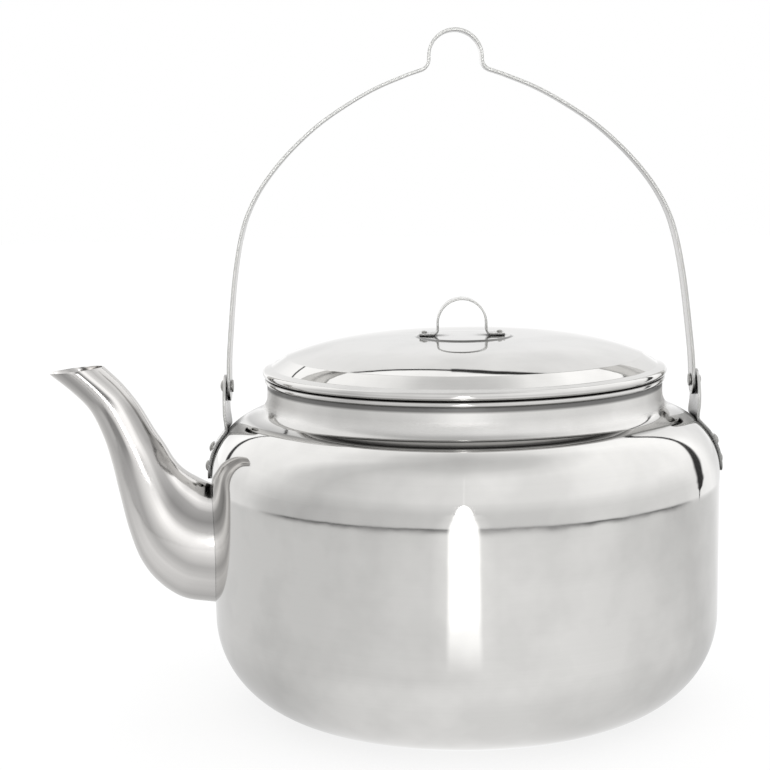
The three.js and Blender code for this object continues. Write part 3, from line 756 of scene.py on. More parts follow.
def strainer_tree():
    """Drills round holes on a triangular pitch inside an upright oval of the wall on the -X side."""
    tree, add, size = new_tree("Strainer", {"Float": [
        "Hole", "Pitch", "Half Width", "Half Height", "Centre Height", "Wall Radius", "Drill Length"]})
    grid = add("GeometryNodeMeshGrid", {"Vertices X": 9, "Vertices Y": 9})
    place = add("GeometryNodeInputPosition")
    steps = add("ShaderNodeVectorMath", (place, (8, 8, 0)), operation="MULTIPLY")
    column, row, _ = add("ShaderNodeSeparateXYZ", [steps]).outputs
    odd = add("ShaderNodeMath", (row, 2.0), operation="FLOORED_MODULO")
    moved = add("ShaderNodeMath", (odd, 0.5, column), operation="MULTIPLY_ADD")
    across = add("ShaderNodeMath", (moved, size["Pitch"]), operation="MULTIPLY")
    row_pitch = add("ShaderNodeMath", (size["Pitch"], math.sin(math.radians(60))),
                    operation="MULTIPLY")
    up = add("ShaderNodeMath", (row, row_pitch), operation="MULTIPLY")
    height = add("ShaderNodeMath", (up, size["Centre Height"]), operation="ADD")
    wall = add("ShaderNodeMath", (size["Wall Radius"], -1.0), operation="MULTIPLY")
    spot = add("ShaderNodeCombineXYZ", (wall, across, height))
    wide = add("ShaderNodeMath", (across, size["Half Width"]), operation="DIVIDE")
    tall = add("ShaderNodeMath", (up, size["Half Height"]), operation="DIVIDE")
    oval = add("ShaderNodeCombineXYZ", (wide, tall))
    out = add("ShaderNodeVectorMath", [oval], operation="LENGTH")
    beyond = add("FunctionNodeCompare", (out, 1.0), data_type="FLOAT", operation="GREATER_THAN")
    kept = add("GeometryNodeDeleteGeometry", {"Geometry": grid, "Selection": beyond},
               domain="POINT")
    placed = add("GeometryNodeSetPosition", {"Geometry": kept, "Position": spot})
    radius = add("ShaderNodeMath", (size["Hole"], 0.5), operation="MULTIPLY")
    bit = add("GeometryNodeMeshCylinder", {"Vertices": 20, "Radius": radius,
                                           "Depth": size["Drill Length"]})
    bits = add("GeometryNodeInstanceOnPoints", {"Points": placed, "Instance": bit,
                                                "Rotation": (0, math.pi / 2, 0)})
    cutters = add("GeometryNodeRealizeInstances", [bits])
    drilled = add("GeometryNodeMeshBoolean", {"Mesh 1": size["Geometry"], "Mesh 2": cutters},
                  operation="DIFFERENCE", solver="EXACT")
    end_tree(add, drilled, size["Finish"])
    return tree


def ear_rivet_holes(scene, side):
    """The holes for an ear's two rivets, through the ear and the shoulder."""
    reach = scene.kettle_rivets.shank / 2 + scene.kettle_rivets.clearance
    return [(centre + axis * scene.kettle_pot.shoulder, axis, reach, SHEET_DRILL)
            for centre, axis in ear_rivet_axes(scene, side)]


class KETTLE_OT_pot(Operator):
    """Turn the pot, roll its rim and drill its strainer and its rivet holes"""
    bl_idname = "kettle.pot"
    bl_label = "Pot"

    def execute(self, context):
        scene = context.scene
        pot, spout, strainer = scene.kettle_pot, scene.kettle_spout, scene.kettle_strainer
        centre, height = rim_centre(pot)
        neck = neck_radius(pot)
        foot = math.degrees(math.acos((neck - centre) / pot.rim_curl))
        curl = arc((centre, height), pot.rim_curl, -foot, 180, 18)
        lip = [(neck - pot.sheet, height - pot.rim_curl / 4)]
        outside = [(0, 0), *pot_outline(pot, 0), (neck, height - pot.rim_curl)]
        inside = [(0, pot.sheet), *pot_outline(pot, -pot.sheet)]
        profile = filled([*outside, *curl, *lip, *inside[::-1]], LONGEST_STEP)
        body = turned("kettle_body_polished", profile, pot.turns)
        seam_half = INNER_LINE_SHARES[0][1] * spout.rise / 2
        run_tree(body, strainer_tree(), polished_stainless, {
            "Hole": strainer.hole, "Pitch": strainer.pitch,
            "Half Width": spout.base_width / 2 - strainer.margin,
            "Half Height": seam_half - strainer.margin,
            "Centre Height": spout.foot + seam_half,
            "Wall Radius": pot.body_radius, "Drill Length": STRAINER_DRILL})
        drill(body, [*ear_rivet_holes(scene, -1), *ear_rivet_holes(scene, 1)])
        dress(body, "kettle", ["kettle_body"], polished_stainless)
        return {"FINISHED"}


# Spout

# Its outlines are in shares of its reach and rise: the outer one runs from the foot of the seam to
# the lip, and the inner one from the top of the seam to the back of the mouth.
OUTER_LINE_SHARES = (
    (0, 0), (0.205, 0.024), (0.36, 0.096), (0.46, 0.187), (0.53, 0.315), (0.583, 0.47),
    (0.628, 0.61), (0.683, 0.735), (0.76, 0.843), (0.862, 0.916), (1, 0.994))
INNER_LINE_SHARES = (
    (0, 0.51), (0.045, 0.522), (0.105, 0.544), (0.15, 0.562), (0.195, 0.586), (0.24, 0.622),
    (0.292, 0.683), (0.358, 0.753), (0.449, 0.859), (0.55, 0.948), (0.658, 1.02))
WIDTH_SHARES = (1, 0.97, 0.9, 0.81, 0.7, 0.6, 0.53, 0.48, 0.445, 0.435, 0.435)


def spout_line(scene, shares):
    """One of the spout's outlines in the kettle's middle plane."""
    spout = scene.kettle_spout
    wall = scene.kettle_pot.body_radius
    return spline([(-wall - along * spout.reach, 0, spout.foot + up * spout.rise)
                   for along, up in shares], SPOUT_STEPS)


def spout_seam(pot):
    """Air left at the spout's welded seam."""
    return pot.seat_gap / 10


def spout_ring(low, high, width, inset):
    """An oval ring that stands between two points of the outlines."""
    centre = (Vector(low) + Vector(high)) / 2
    up = (Vector(high) - Vector(low)) / 2
    tall = up.length - inset
    direction = up.normalized()
    ring = []
    for side in range(SPOUT_SIDES):
        angle = 2 * math.pi * side / SPOUT_SIDES
        point = centre + direction * (tall * math.cos(angle))
        ring.append((point.x, (width / 2 - inset) * math.sin(angle), point.z))
    return ring


class KETTLE_OT_spout(Operator):
    """Loft the swan-neck spout, from its seam on the wall to its rounded lip"""
    bl_idname = "kettle.spout"
    bl_label = "Spout"

    def execute(self, context):
        scene = context.scene
        pot, spout = scene.kettle_pot, scene.kettle_spout
        outer = spout_line(scene, OUTER_LINE_SHARES)
        inner = spout_line(scene, INNER_LINE_SHARES)
        shares = spline(list(enumerate(WIDTH_SHARES)), SPOUT_STEPS)
        narrow = spout.mouth_width / spout.base_width
        widths = [spout.base_width * max(share, narrow) for _, share in shares]
        outside, inside = [[spout_ring(*three, inset) for three in zip(outer, inner, widths)]
                           for inset in (0, pot.sheet)]
        for rings in (outside, inside):
            rings[0] = [self.on_wall(pot, y, z) for _, y, z in rings[0]]
        away = (Vector(outer[-1]) - Vector(outer[-2])).normalized()
        lip = []
        for degrees in (45, 90, 135):
            angle = math.radians(degrees)
            ring = spout_ring(outer[-1], inner[-1], widths[-1],
                              pot.sheet / 2 * (1 - math.cos(angle)))
            lip.append([tuple(Vector(point) + away * pot.sheet / 2 * math.sin(angle))
                        for point in ring])
        shell = skin("spout_satin", [*outside, *lip, *inside[::-1]], closed=True)
        dress(shell, "kettle", ["spout"], satin_stainless)
        return {"FINISHED"}

    @staticmethod
    def on_wall(pot, y, z):
        """A point of the seam, moved along X onto the pot's wall."""
        radius = pot_radius(pot, z, spout_seam(pot))
        return (-math.sqrt(radius ** 2 - y ** 2), y, z)


# Ears

def pivot_height(scene):
    """Height of the bail's pivots."""
    return scene.kettle_pot.wall_top + scene.kettle_bail.pivot_rise


def ear_face(scene, side):
    """Distance of an ear's inner face from the kettle's middle plane."""
    return scene.kettle_pot.body_radius - scene.kettle_ears.inset + side * scene.kettle_bail.shift


def ear_half_width(scene, height):
    """Half the ear's width at a height: round foot corners and a round top."""
    ear = scene.kettle_ears
    half = ear.width / 2
    foot = scene.kettle_pot.wall_top - ear.foot_drop
    crown = pivot_height(scene) + ear.top - half
    if height < foot + ear.corner:
        drop = foot + ear.corner - height
        return half - ear.corner + math.sqrt(max(ear.corner ** 2 - drop ** 2, 0))
    if height > crown:
        return math.sqrt(max(half ** 2 - (height - crown) ** 2, 0))
    return half


def ear_line(scene, side):
    """The ear's inner face in the middle plane, from its foot over the shoulder to its top."""
    pot, ear = scene.kettle_pot, scene.kettle_ears
    foot = pot.wall_top - ear.foot_drop
    face = ear_face(scene, side)
    reach = pot.shoulder + pot.seat_gap
    bend = math.degrees(math.acos((face - shoulder_centre(pot)) / reach))
    over = arc((shoulder_centre(pot), pot.wall_top), reach, 0, bend, 24)
    corner = over[-1]
    # The bend is rounded between the arc's last 7 steps and the first 12 mm of the upright.
    tail = rounded([over[-8], corner, (face, corner[1] + 12 * MM)], ear.bend, 10)
    top = (face, pivot_height(scene) + ear.top)
    line = [(pot.body_radius + pot.seat_gap, foot), *over[:-8], *tail, top]
    return filled(line, 0.4 * LONGEST_STEP)


def ear_sheet(scene, side):
    """The ear's inner face as a mesh: a grid in rows from its foot to its top."""
    ear = scene.kettle_ears
    line = ear_line(scene, side)
    half = ear.width / 2
    foot, top = line[0][1], line[-1][1]
    crown = top - half
    # Rows lie every 7.5 degrees of the foot's corners and every 5 degrees of the round top.
    rounds = [foot + ear.corner * (1 - math.cos(math.radians(7.5 * step))) for step in range(13)]
    rounds += [crown + half * math.sin(math.radians(5 * step)) for step in range(19)]
    middle = [up for _, up in line if foot + ear.corner < up < crown]
    heights = sorted(set(round(height, 7) for height in (*rounds, *middle)))
    bend = next(up for across, up in line if across < ear_face(scene, side) + 1e-6)
    vertices, faces = [], []
    for row, height in enumerate(heights):
        last = max([place for place, (_, up) in enumerate(line) if up <= height + 1e-9] or [0])
        start, end = line[last], line[min(last + 1, len(line) - 1)]
        share = (height - start[1]) / max(end[1] - start[1], 1e-9)
        across = start[0] + (end[0] - start[0]) * min(max(share, 0), 1)
        # The ear turns from the pot's round to flat over 8 mm above its bend.
        flat = min(max((height - bend) / (8 * MM), 0), 1)
        flat = flat * flat * (3 - 2 * flat)
        wide = ear_half_width(scene, height)
        for column in range(EAR_COLUMNS + 1):
            y = wide * (2 * column / EAR_COLUMNS - 1)
            curved = math.sqrt(across ** 2 - y ** 2)
            vertices.append((side * (curved + (across - curved) * flat), y, height))
            if row and column:
                first = row * (EAR_COLUMNS + 1) + column
                below = first - EAR_COLUMNS - 1
                face = [first, first - 1, below - 1, below]
                faces.append(face if side > 0 else face[::-1])
    mesh = plain_mesh("ear", vertices, [], faces)
    draft = bmesh.new()
    draft.from_mesh(mesh)
    bmesh.ops.remove_doubles(draft, verts=draft.verts, dist=1e-6)
    bmesh.ops.dissolve_degenerate(draft, edges=draft.edges, dist=1e-6)
    draft.to_mesh(mesh)
    draft.free()
    return mesh


class KETTLE_OT_ears(Operator):
    """Bend the two ears over the shoulder, and drill them for their rivets and the pivot"""
    bl_idname = "kettle.ears"
    bl_label = "Ears"

    def execute(self, context):
        scene = context.scene
        rivets = scene.kettle_rivets
        pivot_hole = rivets.pivot_shank / 2 + rivets.clearance
        for side, name in ((-1, "left"), (1, "right")):
            plate = new_object(f"ear_{name}_plate", ear_sheet(scene, side))
            thick = plate.modifiers.new("Thickness", "SOLIDIFY")
            thick.thickness = scene.kettle_ears.thickness
            thick.offset = 1
            thick.use_even_offset = True
            bevel = plate.modifiers.new("Edge", "BEVEL")
            bevel.width = BROKEN_EDGE
            bevel.segments = 2
            bevel.limit_method = "ANGLE"
            bevel.angle_limit = math.radians(50)
            settle(plate)
            turn_outwards(plate.data)
            pivot = (side * ear_face(scene, side), 0, pivot_height(scene))
            drill(plate, [(pivot, (1, 0, 0), pivot_hole, PIVOT_DRILL),
                          *ear_rivet_holes(scene, side)])
            dress(plate, "kettle", [f"ear_{name}"], rolled_strip_stainless)
        return {"FINISHED"}


# Strips bent along a path

# Half the bail's outline from its pivot to its hump, in shares of its half width and rise.
BAIL_LINE_SHARES = (
    (1, 0), (0.996, 0.08), (0.987, 0.156), (0.965, 0.309), (0.95, 0.384), (0.93, 0.46),
    (0.9, 0.535), (0.85, 0.61), (0.778, 0.685), (0.685, 0.76), (0.57, 0.834), (0.416, 0.908),
    (0.32, 0.945), (0.197, 0.982))


def strip_tree():
    """A flat strip with rounded edges along a path in the XZ plane. Below a height its width closes
    in to a round end."""
    tree, add, size = new_tree("Bent Strip", {"Float": [
        "Width", "Thickness", "Edge", "Round End Height"]})
    path = add("GeometryNodeMeshToCurve", {"Mesh": size["Geometry"]})
    aligned = add("GeometryNodeSetCurveNormal", {"Curve": path, "Normal": (0, 1, 0)}, mode="FREE")
    section = add("GeometryNodeCurvePrimitiveQuadrilateral", {
        "Width": size["Width"], "Height": size["Thickness"]}, mode="RECTANGLE")
    soft = add("GeometryNodeFilletCurve", {"Curve": section, "Radius": size["Edge"], "Count": 3},
               mode="POLY")
    swept = add("GeometryNodeCurveToMesh", {"Curve": aligned, "Profile Curve": soft,
                                            "Fill Caps": True})
    place = add("GeometryNodeInputPosition")
    across, sideways, up = add("ShaderNodeSeparateXYZ", [place]).outputs
    below = add("ShaderNodeMath", (size["Round End Height"], up), operation="SUBTRACT")
    half = add("ShaderNodeMath", (size["Width"], 0.5), operation="MULTIPLY")
    depth = add("ShaderNodeMath", (below, half), operation="DIVIDE", use_clamp=True)
    square = add("ShaderNodeMath", (depth, 2.0), operation="POWER")
    rest = add("ShaderNodeMath", (1.0, square), operation="SUBTRACT")
    share = add("ShaderNodeMath", [rest], operation="SQRT")
    narrowed = add("ShaderNodeMath", (sideways, share), operation="MULTIPLY")
    spot = add("ShaderNodeCombineXYZ", (across, narrowed, up))
    shaped = add("GeometryNodeSetPosition", {"Geometry": swept, "Position": spot})
    merged = add("GeometryNodeMergeByDistance", {"Geometry": shaped, "Distance": 0.002 * MM})
    end_tree(add, merged, size["Finish"])
    return tree


def path_object(name, points):
    """A line of points in the XZ plane as a mesh of edges."""
    vertices = [(across, 0.0, up) for across, up in points]
    edges = [(place, place + 1) for place in range(len(vertices) - 1)]
    return new_object(name, plain_mesh(name, vertices, edges, []))


def bail_line(scene):
    """The bail's outer face, from one round end over the hump to the other."""
    pot, bail, ear = scene.kettle_pot, scene.kettle_bail, scene.kettle_ears
    face = pot.body_radius - ear.inset - pot.seat_gap
    pivot = pivot_height(scene)
    half = spline([(across * face, pivot + up * bail.rise) for across, up in BAIL_LINE_SHARES], 6)
    radius = bail.hump_width / 2
    centre = pivot + bail.rise + bail.hump_height - radius
    # The round end has a point every 6 degrees.
    end = [(face, pivot - bail.width / 2 * math.cos(math.radians(6 * step))) for step in range(15)]
    # The hump's foot carries on at a slope of 18 degrees, and then turns up.
    slope = math.radians(18)
    foot = half[-1][0] - radius - bail.hump_fillet * (1 - math.sin(slope))
    turn = half[-1][1] + foot * math.tan(slope) + bail.hump_fillet * math.cos(slope)
    hump = [*arc((radius + bail.hump_fillet, turn), bail.hump_fillet, 252, 180, 8),
            *arc((0, centre), radius, 0, 90, 20)]
    whole = mirrored([*end, *filled([*half, *hump], LONGEST_STEP)])
    reach = bail.rise + bail.hump_height
    return [(across + bail.shift + bail.lean * max(up - pivot, 0) / reach, up)
            for across, up in whole]


class KETTLE_OT_bail(Operator):
    """Bend the bail from flat strip, with its hanging hump and its two round, drilled ends"""
    bl_idname = "kettle.bail"
    bl_label = "Bail"

    def execute(self, context):
        scene = context.scene
        bail, rivets = scene.kettle_bail, scene.kettle_rivets
        middle = offset_line(bail_line(scene), -bail.thickness / 2)
        strip = path_object("bail_strip", middle)
        pivot = pivot_height(scene)
        run_tree(strip, strip_tree(), rolled_strip_stainless, {
            "Width": bail.width, "Thickness": bail.thickness, "Edge": bail.edge,
            "Round End Height": pivot})
        turn_outwards(strip.data)
        hole = rivets.pivot_shank / 2 + rivets.clearance
        drill(strip, [((side * scene.kettle_pot.body_radius, 0, pivot), (1, 0, 0), hole, BAIL_DRILL)
                      for side in (-1, 1)])
        dress(strip, "bail", ["bail"], rolled_strip_stainless)
        return {"FINISHED"}


# Lid

def lid_heights(scene):
    """The lid's main places: edge roll centre, brim, step and dome top."""
    pot, lid = scene.kettle_pot, scene.kettle_lid
    rim_across, rim_up = rim_centre(pot)
    outer = rim_across + pot.rim_curl + lid.overhang
    roll = (outer - lid.curl, rim_up + pot.rim_curl + pot.seat_gap + lid.curl)
    brim_across = outer - lid.brim_width
    start = roll[0] + lid.curl * math.sin(lid.brim_slope)
    brim_up = (roll[1] + lid.curl * math.cos(lid.brim_slope)
               + (start - brim_across) * math.tan(lid.brim_slope))
    step_across = brim_across - lid.step_width
    step_up = brim_up + lid.step_width * math.tan(lid.step_slope)
    return roll, (brim_across, brim_up), (step_across, step_up), step_up + lid.dome_rise


def seat_radius(scene):
    """Radius of the pressed seat under the finger loop."""
    loop = scene.kettle_loop
    return scene.kettle_lid.seat_margin + math.hypot(loop.span / 2 + abs(loop.shift), loop.width / 2)


def bezier(a, b, c, d, steps):
    """Points on a cubic curve."""
    line = []
    for step in range(steps + 1):
        t = step / steps
        line.append(tuple((1 - t) ** 3 * p + 3 * (1 - t) ** 2 * t * q + 3 * (1 - t) * t * t * r
                          + t ** 3 * s for p, q, r, s in zip(a, b, c, d)))
    return line


def lid_top(scene):
    """The lid's upper face, from its centre to the start of its edge roll."""
    lid = scene.kettle_lid
    roll, brim, step, dome_top = lid_heights(scene)
    seat = seat_radius(scene)
    run = step[0] - seat
    rise = math.tan(lid.dome_edge_slope)
    dome = bezier((seat + lid.seat_height, dome_top), (seat + run / 2, dome_top),
                  (step[0] - run / 3, step[1] + rise * run / 3), step, 30)
    seat_top = dome_top + lid.seat_height
    seat_bend, slope_bend = 0.9 * MM, 2.2 * MM
    edge = rounded([(seat - 3 * MM, seat_top), (seat, seat_top), dome[0], dome[1]], seat_bend, 5)
    brim_end = (roll[0], brim[1] - (roll[0] - brim[0]) * math.tan(lid.brim_slope))
    slopes = rounded([dome[-2], step, brim, brim_end], slope_bend, 6)
    return [(0, seat_top), *edge, *dome[2:-2], *slopes[:-1]]


class KETTLE_OT_lid(Operator):
    """Turn the domed lid with its rolled edge, and drill it for the finger loop's rivets"""
    bl_idname = "kettle.lid"
    bl_label = "Lid"

    def execute(self, context):
        scene = context.scene
        pot, lid, loop = scene.kettle_pot, scene.kettle_lid, scene.kettle_loop
        roll = lid_heights(scene)[0]
        top = lid_top(scene)
        under = [(max(across, 0), up) for across, up in offset_line(top, pot.sheet)]
        curl = arc(roll, lid.curl, 90 - math.degrees(lid.brim_slope), -150, 26)
        profile = filled([*top, *curl, *under[::-1]], LONGEST_STEP)
        cover = turned("lid_polished", profile, pot.turns)
        hole = loop.shank / 2 + scene.kettle_rivets.clearance
        drill(cover, [((place, 0, top[0][1]), (0, 0, 1), hole, SHEET_DRILL)
                      for place in loop_rivet_places(scene)])
        dress(cover, "lid", ["lid"], polished_stainless)
        return {"FINISHED"}


class KETTLE_OT_collar(Operator):
    """Turn the collar that keeps the lid in the neck"""
    bl_idname = "kettle.collar"
    bl_label = "Lid collar"

    def execute(self, context):
        scene = context.scene
        pot, lid = scene.kettle_pot, scene.kettle_lid
        rim_across, rim_up = rim_centre(pot)
        radius = rim_across - pot.rim_curl - lid.collar_clearance
        roll, _, step, _ = lid_heights(scene)
        drop = (pot.sheet + pot.seat_gap) / math.cos(lid.step_slope)

        def under_lid(across):
            return step[1] - (across - step[0]) * math.tan(lid.step_slope) - drop

        flange = max(radius - lid.collar_flange, step[0])
        corner = radius - 2 * pot.sheet
        bend = 1.2 * MM
        outer = rounded([(flange, under_lid(flange)), (corner, under_lid(corner)),
                         (radius, roll[1] - pot.seat_gap), (radius, rim_up - lid.collar_depth)],
                        bend, 5)
        inner = offset_line(outer, pot.sheet)
        profile = filled([*outer, *inner[::-1]], LONGEST_STEP)
        ring = turned("lid_collar_satin", profile, pot.turns)
        dress(ring, "lid", ["lid_collar"], satin_stainless)
        return {"FINISHED"}


# Finger loop

def loop_foot(scene):
    """Height of the underside of the finger loop's feet."""
    lid = scene.kettle_lid
    return lid_heights(scene)[3] + lid.seat_height + scene.kettle_pot.seat_gap


def loop_rivet_places(scene):
    """The two places along the lid where the finger loop is riveted."""
    loop = scene.kettle_loop
    return [loop.shift + side * (loop.span / 2 - loop.rivet_inset) for side in (-1, 1)]


class KETTLE_OT_finger_loop(Operator):
    """Bend the finger loop from narrow strip, and drill its two feet"""
    bl_idname = "kettle.finger_loop"
    bl_label = "Finger loop"

    def execute(self, context):
        scene = context.scene
        loop = scene.kettle_loop
        foot = loop_foot(scene)
        radius = loop.loop_width / 2
        foot_top = foot + loop.thickness
        right = [(loop.span / 2, foot_top),
                 *arc((radius + loop.foot_fillet, foot_top + loop.foot_fillet),
                      loop.foot_fillet, 270, 180, 8),
                 *arc((0, foot + loop.loop_height - radius), radius, 0, 90, 24)]
        middle = offset_line([(across + loop.shift, up) for across, up in mirrored(right)],
                             -loop.thickness / 2)
        strip = path_object("finger_loop_strip", filled(middle, LONGEST_STEP / 2))
        run_tree(strip, strip_tree(), rolled_strip_stainless, {
            "Width": loop.width, "Thickness": loop.thickness, "Edge": BROKEN_EDGE,
            "Round End Height": 0.0})
        turn_outwards(strip.data)
        hole = loop.shank / 2 + scene.kettle_rivets.clearance
        drill(strip, [((place, 0, foot), (0, 0, 1), hole, SHEET_DRILL)
                      for place in loop_rivet_places(scene)])
        dress(strip, "lid", ["lid_handle"], rolled_strip_stainless)
        return {"FINISHED"}


# Rivets

def rivet_tree():
    """Puts one rivet, turned from the outline of a section object, at every point, along the
    point's own axis."""
    tree, add, size = new_tree("Rivets", {"Object": ["Section"], "Int": ["Sides"]})
    section = add("GeometryNodeObjectInfo", {"Object": size["Section"]}).outputs["Geometry"]
    line = add("GeometryNodeMeshToCurve", {"Mesh": section})
    place = add("GeometryNodeInputPosition")
    reach, _, up = add("ShaderNodeSeparateXYZ", [place]).outputs
    wide = add("GeometryNodeSetCurveRadius", {"Curve": line, "Radius": reach})
    axis = add("ShaderNodeCombineXYZ", (0.0, 0.0, up))
    straight = add("GeometryNodeSetPosition", {"Geometry": wide, "Position": axis})
    circle = add("GeometryNodeCurvePrimitiveCircle", {"Resolution": size["Sides"], "Radius": 1.0},
                 mode="RADIUS")
    rivet = add("GeometryNodeCurveToMesh", {"Curve": straight, "Profile Curve": circle,
                "Scale": add("GeometryNodeInputRadius"), "Fill Caps": True})
    heading = add("GeometryNodeInputNamedAttribute", {"Name": "axis"}, data_type="FLOAT_VECTOR")
    turn = add("FunctionNodeAlignRotationToVector", {"Vector": heading}, axis="Z")
    copies = add("GeometryNodeInstanceOnPoints", {"Points": size["Geometry"], "Instance": rivet,
                                                  "Rotation": turn})
    end_tree(add, copies, size["Finish"])
    return tree


def rivet_section(head, dome, shank, grip):
    """Half a rivet, from the top of its domed head to the underside of its flat closing head."""
    crown = [(head / 2 * math.cos(math.radians(9 * step)), dome * math.sin(math.radians(9 * step)))
             for step in range(10)]
    # The top keeps 0.02 mm to the axis, so that the sweep can cap it. The undersides are chamfered.
    top = [(max(across, 0.02 * MM), up) for across, up in crown[::-1]]
    rim = head / 2
    low, foot = -grip, -grip - dome / 2
    chamfer = BROKEN_EDGE / 2
    return [*top, (rim - 0.08 * MM, -0.04 * MM), (shank / 2, -0.06 * MM),
            (shank / 2, low + 0.02 * MM), (rim - chamfer, low), (rim, low - chamfer),
            (rim, foot + BROKEN_EDGE), (rim - BROKEN_EDGE, foot)]


class KETTLE_OT_rivets(Operator):
    """Set the rivets of the ears, of the bail's pivots and of the finger loop"""
    bl_idname = "kettle.rivets"
    bl_label = "Rivets"

    def execute(self, context):
        scene = context.scene
        pot, ear, loop = scene.kettle_pot, scene.kettle_ears, scene.kettle_loop
        rivets = scene.kettle_rivets
        gap = pot.seat_gap
        feet = []
        for side in (-1, 1):
            for centre, axis in ear_rivet_axes(scene, side):
                feet.append((centre + axis * (pot.shoulder + ear.thickness + 2 * gap), axis))
        section = rivet_section(rivets.head, rivets.dome, rivets.shank,
                                pot.sheet + ear.thickness + 3 * gap)
        self.set_rivets("ear_rivets", feet, section, "kettle", [
            f"ear_{side}_rivet_{place}" for side in ("left", "right")
            for place in ("upper", "lower")])
        pivots = []
        for side in (-1, 1):
            outer = ear_face(scene, side) + ear.thickness + gap
            pivots.append((Vector((side * outer, 0, pivot_height(scene))), Vector((side, 0, 0))))
        section = rivet_section(rivets.pivot_head, rivets.pivot_dome, rivets.pivot_shank,
                                ear.thickness + scene.kettle_bail.thickness + 3 * gap)
        self.set_rivets("bail_pivot_rivets", pivots, section, "kettle",
                        ["bail_rivet_left", "bail_rivet_right"])
        tops = [(Vector((place, 0, loop_foot(scene) + loop.thickness + gap)), Vector((0, 0, 1)))
                for place in loop_rivet_places(scene)]
        section = rivet_section(loop.head, loop.dome, loop.shank,
                                loop.thickness + pot.sheet + 3 * gap)
        self.set_rivets("finger_loop_rivets", tops, section, "lid",
                        ["lid_handle_rivet_left", "lid_handle_rivet_right"])
        return {"FINISHED"}

    @staticmethod
    def set_rivets(name, places, section, body, nodes):
        """Like rivets in one mesh, at places that are given with their axes."""
        outline = path_object("rivet_section", section)
        mesh = plain_mesh(name, [place for place, _ in places], [], [])
        axes = mesh.attributes.new("axis", "FLOAT_VECTOR", "POINT")
        axes.data.foreach_set("vector", [value for _, axis in places for value in axis])
        group = new_object(name, mesh)
        run_tree(group, rivet_tree(), headed_wire_stainless,
                 {"Section": outline, "Sides": RIVET_SIDES})
        bpy.data.objects.remove(outline)
        turn_outwards(group.data)
        dress(group, body, nodes, headed_wire_stainless)


# Floor, light tent and camera

# The steel sees the greys of the table and the tent, and the camera sees plain white. A bearing is
# 0 towards the camera and grows to the right, and as a share of the turn it is 0.5 there.
SLIT_BEARING_SHARE = 0.4915


def bearing_share(add, way):
    """A direction's bearing round the kettle as a share: 0.5 is the front, 0 and 1 are the back."""
    right, back, _ = add("ShaderNodeSeparateXYZ", [way]).outputs
    front = add("ShaderNodeMath", (back, -1.0), operation="MULTIPLY")
    bearing = add("ShaderNodeMath", (right, front), operation="ARCTAN2")
    return add("ShaderNodeMath", (bearing, 0.5 / math.pi, 0.5), operation="MULTIPLY_ADD")


def wall_greys(add, share):
    """Greys of the tent's walls by bearing: bright sides and back, duller to the front left."""
    return add("ShaderNodeValToRGB", [share], [
        (0.0, 1.45), (0.12, 1.42), (0.2, 1.36), (0.25, 0.98), (0.3, 0.86), (0.36, 1.0),
        (0.42, 1.1), (0.48, 1.14), (0.52, 1.24), (0.58, 1.24), (0.67, 1.3), (0.75, 1.38),
        (0.83, 1.44), (0.88, 1.58), (0.93, 1.5), (1.0, 1.45)])


def slit_light(add, share, spread, glow):
    """Where light comes in through the tent's slit for the camera: a bearing of 10 degrees times
    the spread, with a glow on both sides."""
    off = add("ShaderNodeMath", (share, SLIT_BEARING_SHARE), operation="SUBTRACT")
    apart = add("ShaderNodeMath", [off], operation="ABSOLUTE")
    wide = add("ShaderNodeMath", (apart, spread), operation="DIVIDE")
    scaled = add("ShaderNodeMath", (wide, 20.0), operation="MULTIPLY")
    return add("ShaderNodeValToRGB", [scaled], [(0.0, 1.0), (0.27, 1.0), (0.36, glow), (0.7, 0.0)])


def sweep_factors(add, share, height, width, reach=1.0):
    """The dark slot round the bright sweep behind the kettle, and the brighter sweep inside it, as
    one factor. The sweep's outline is half of a squarish oval in bearing and height, and reach
    widens it."""
    stage = bpy.context.scene.kettle_stage
    turn = 2 * math.pi
    power = stage.sweep_shape
    away = add("ShaderNodeMath", (share, 0.5 + stage.sweep_bearing / turn), operation="SUBTRACT")
    back = add("ShaderNodeMath", (away, 0.5, -0.5), operation="WRAP")
    across = add("ShaderNodeMath", (back, turn / stage.sweep_half_width), operation="MULTIPLY")
    apart = add("ShaderNodeMath", [across], operation="ABSOLUTE")
    side = add("ShaderNodeMath", (apart, reach), operation="DIVIDE")
    above = add("ShaderNodeMath", (height, 0.0), operation="MAXIMUM")
    up = add("ShaderNodeMath", (above, 1 / stage.sweep_height), operation="MULTIPLY")
    side_power, up_power = [add("ShaderNodeMath", (value, power), operation="POWER")
                            for value in (side, up)]
    both = add("ShaderNodeMath", (side_power, up_power), operation="ADD")
    out = add("ShaderNodeMath", (both, 1 / power), operation="POWER")
    off = add("ShaderNodeMath", (out, 1.0), operation="SUBTRACT")
    off_line = add("ShaderNodeMath", [off], operation="ABSOLUTE")
    share_off = add("ShaderNodeMath", (off_line, width), operation="DIVIDE")
    slot = add("ShaderNodeMapRange", (share_off, 0.45, 1.0, 0.04, 1.0),
               interpolation_type="SMOOTHSTEP")
    inside = add("ShaderNodeMath", (out, 1.0), operation="LESS_THAN")
    lit = add("ShaderNodeValToRGB", [side], [(0.4, 0.77), (0.55, 0.84), (0.75, 1.05), (1.0, 1.1)])
    sweep = add("ShaderNodeMix", (inside, 1.0, lit))
    return add("ShaderNodeMath", (slot, sweep), operation="MULTIPLY")


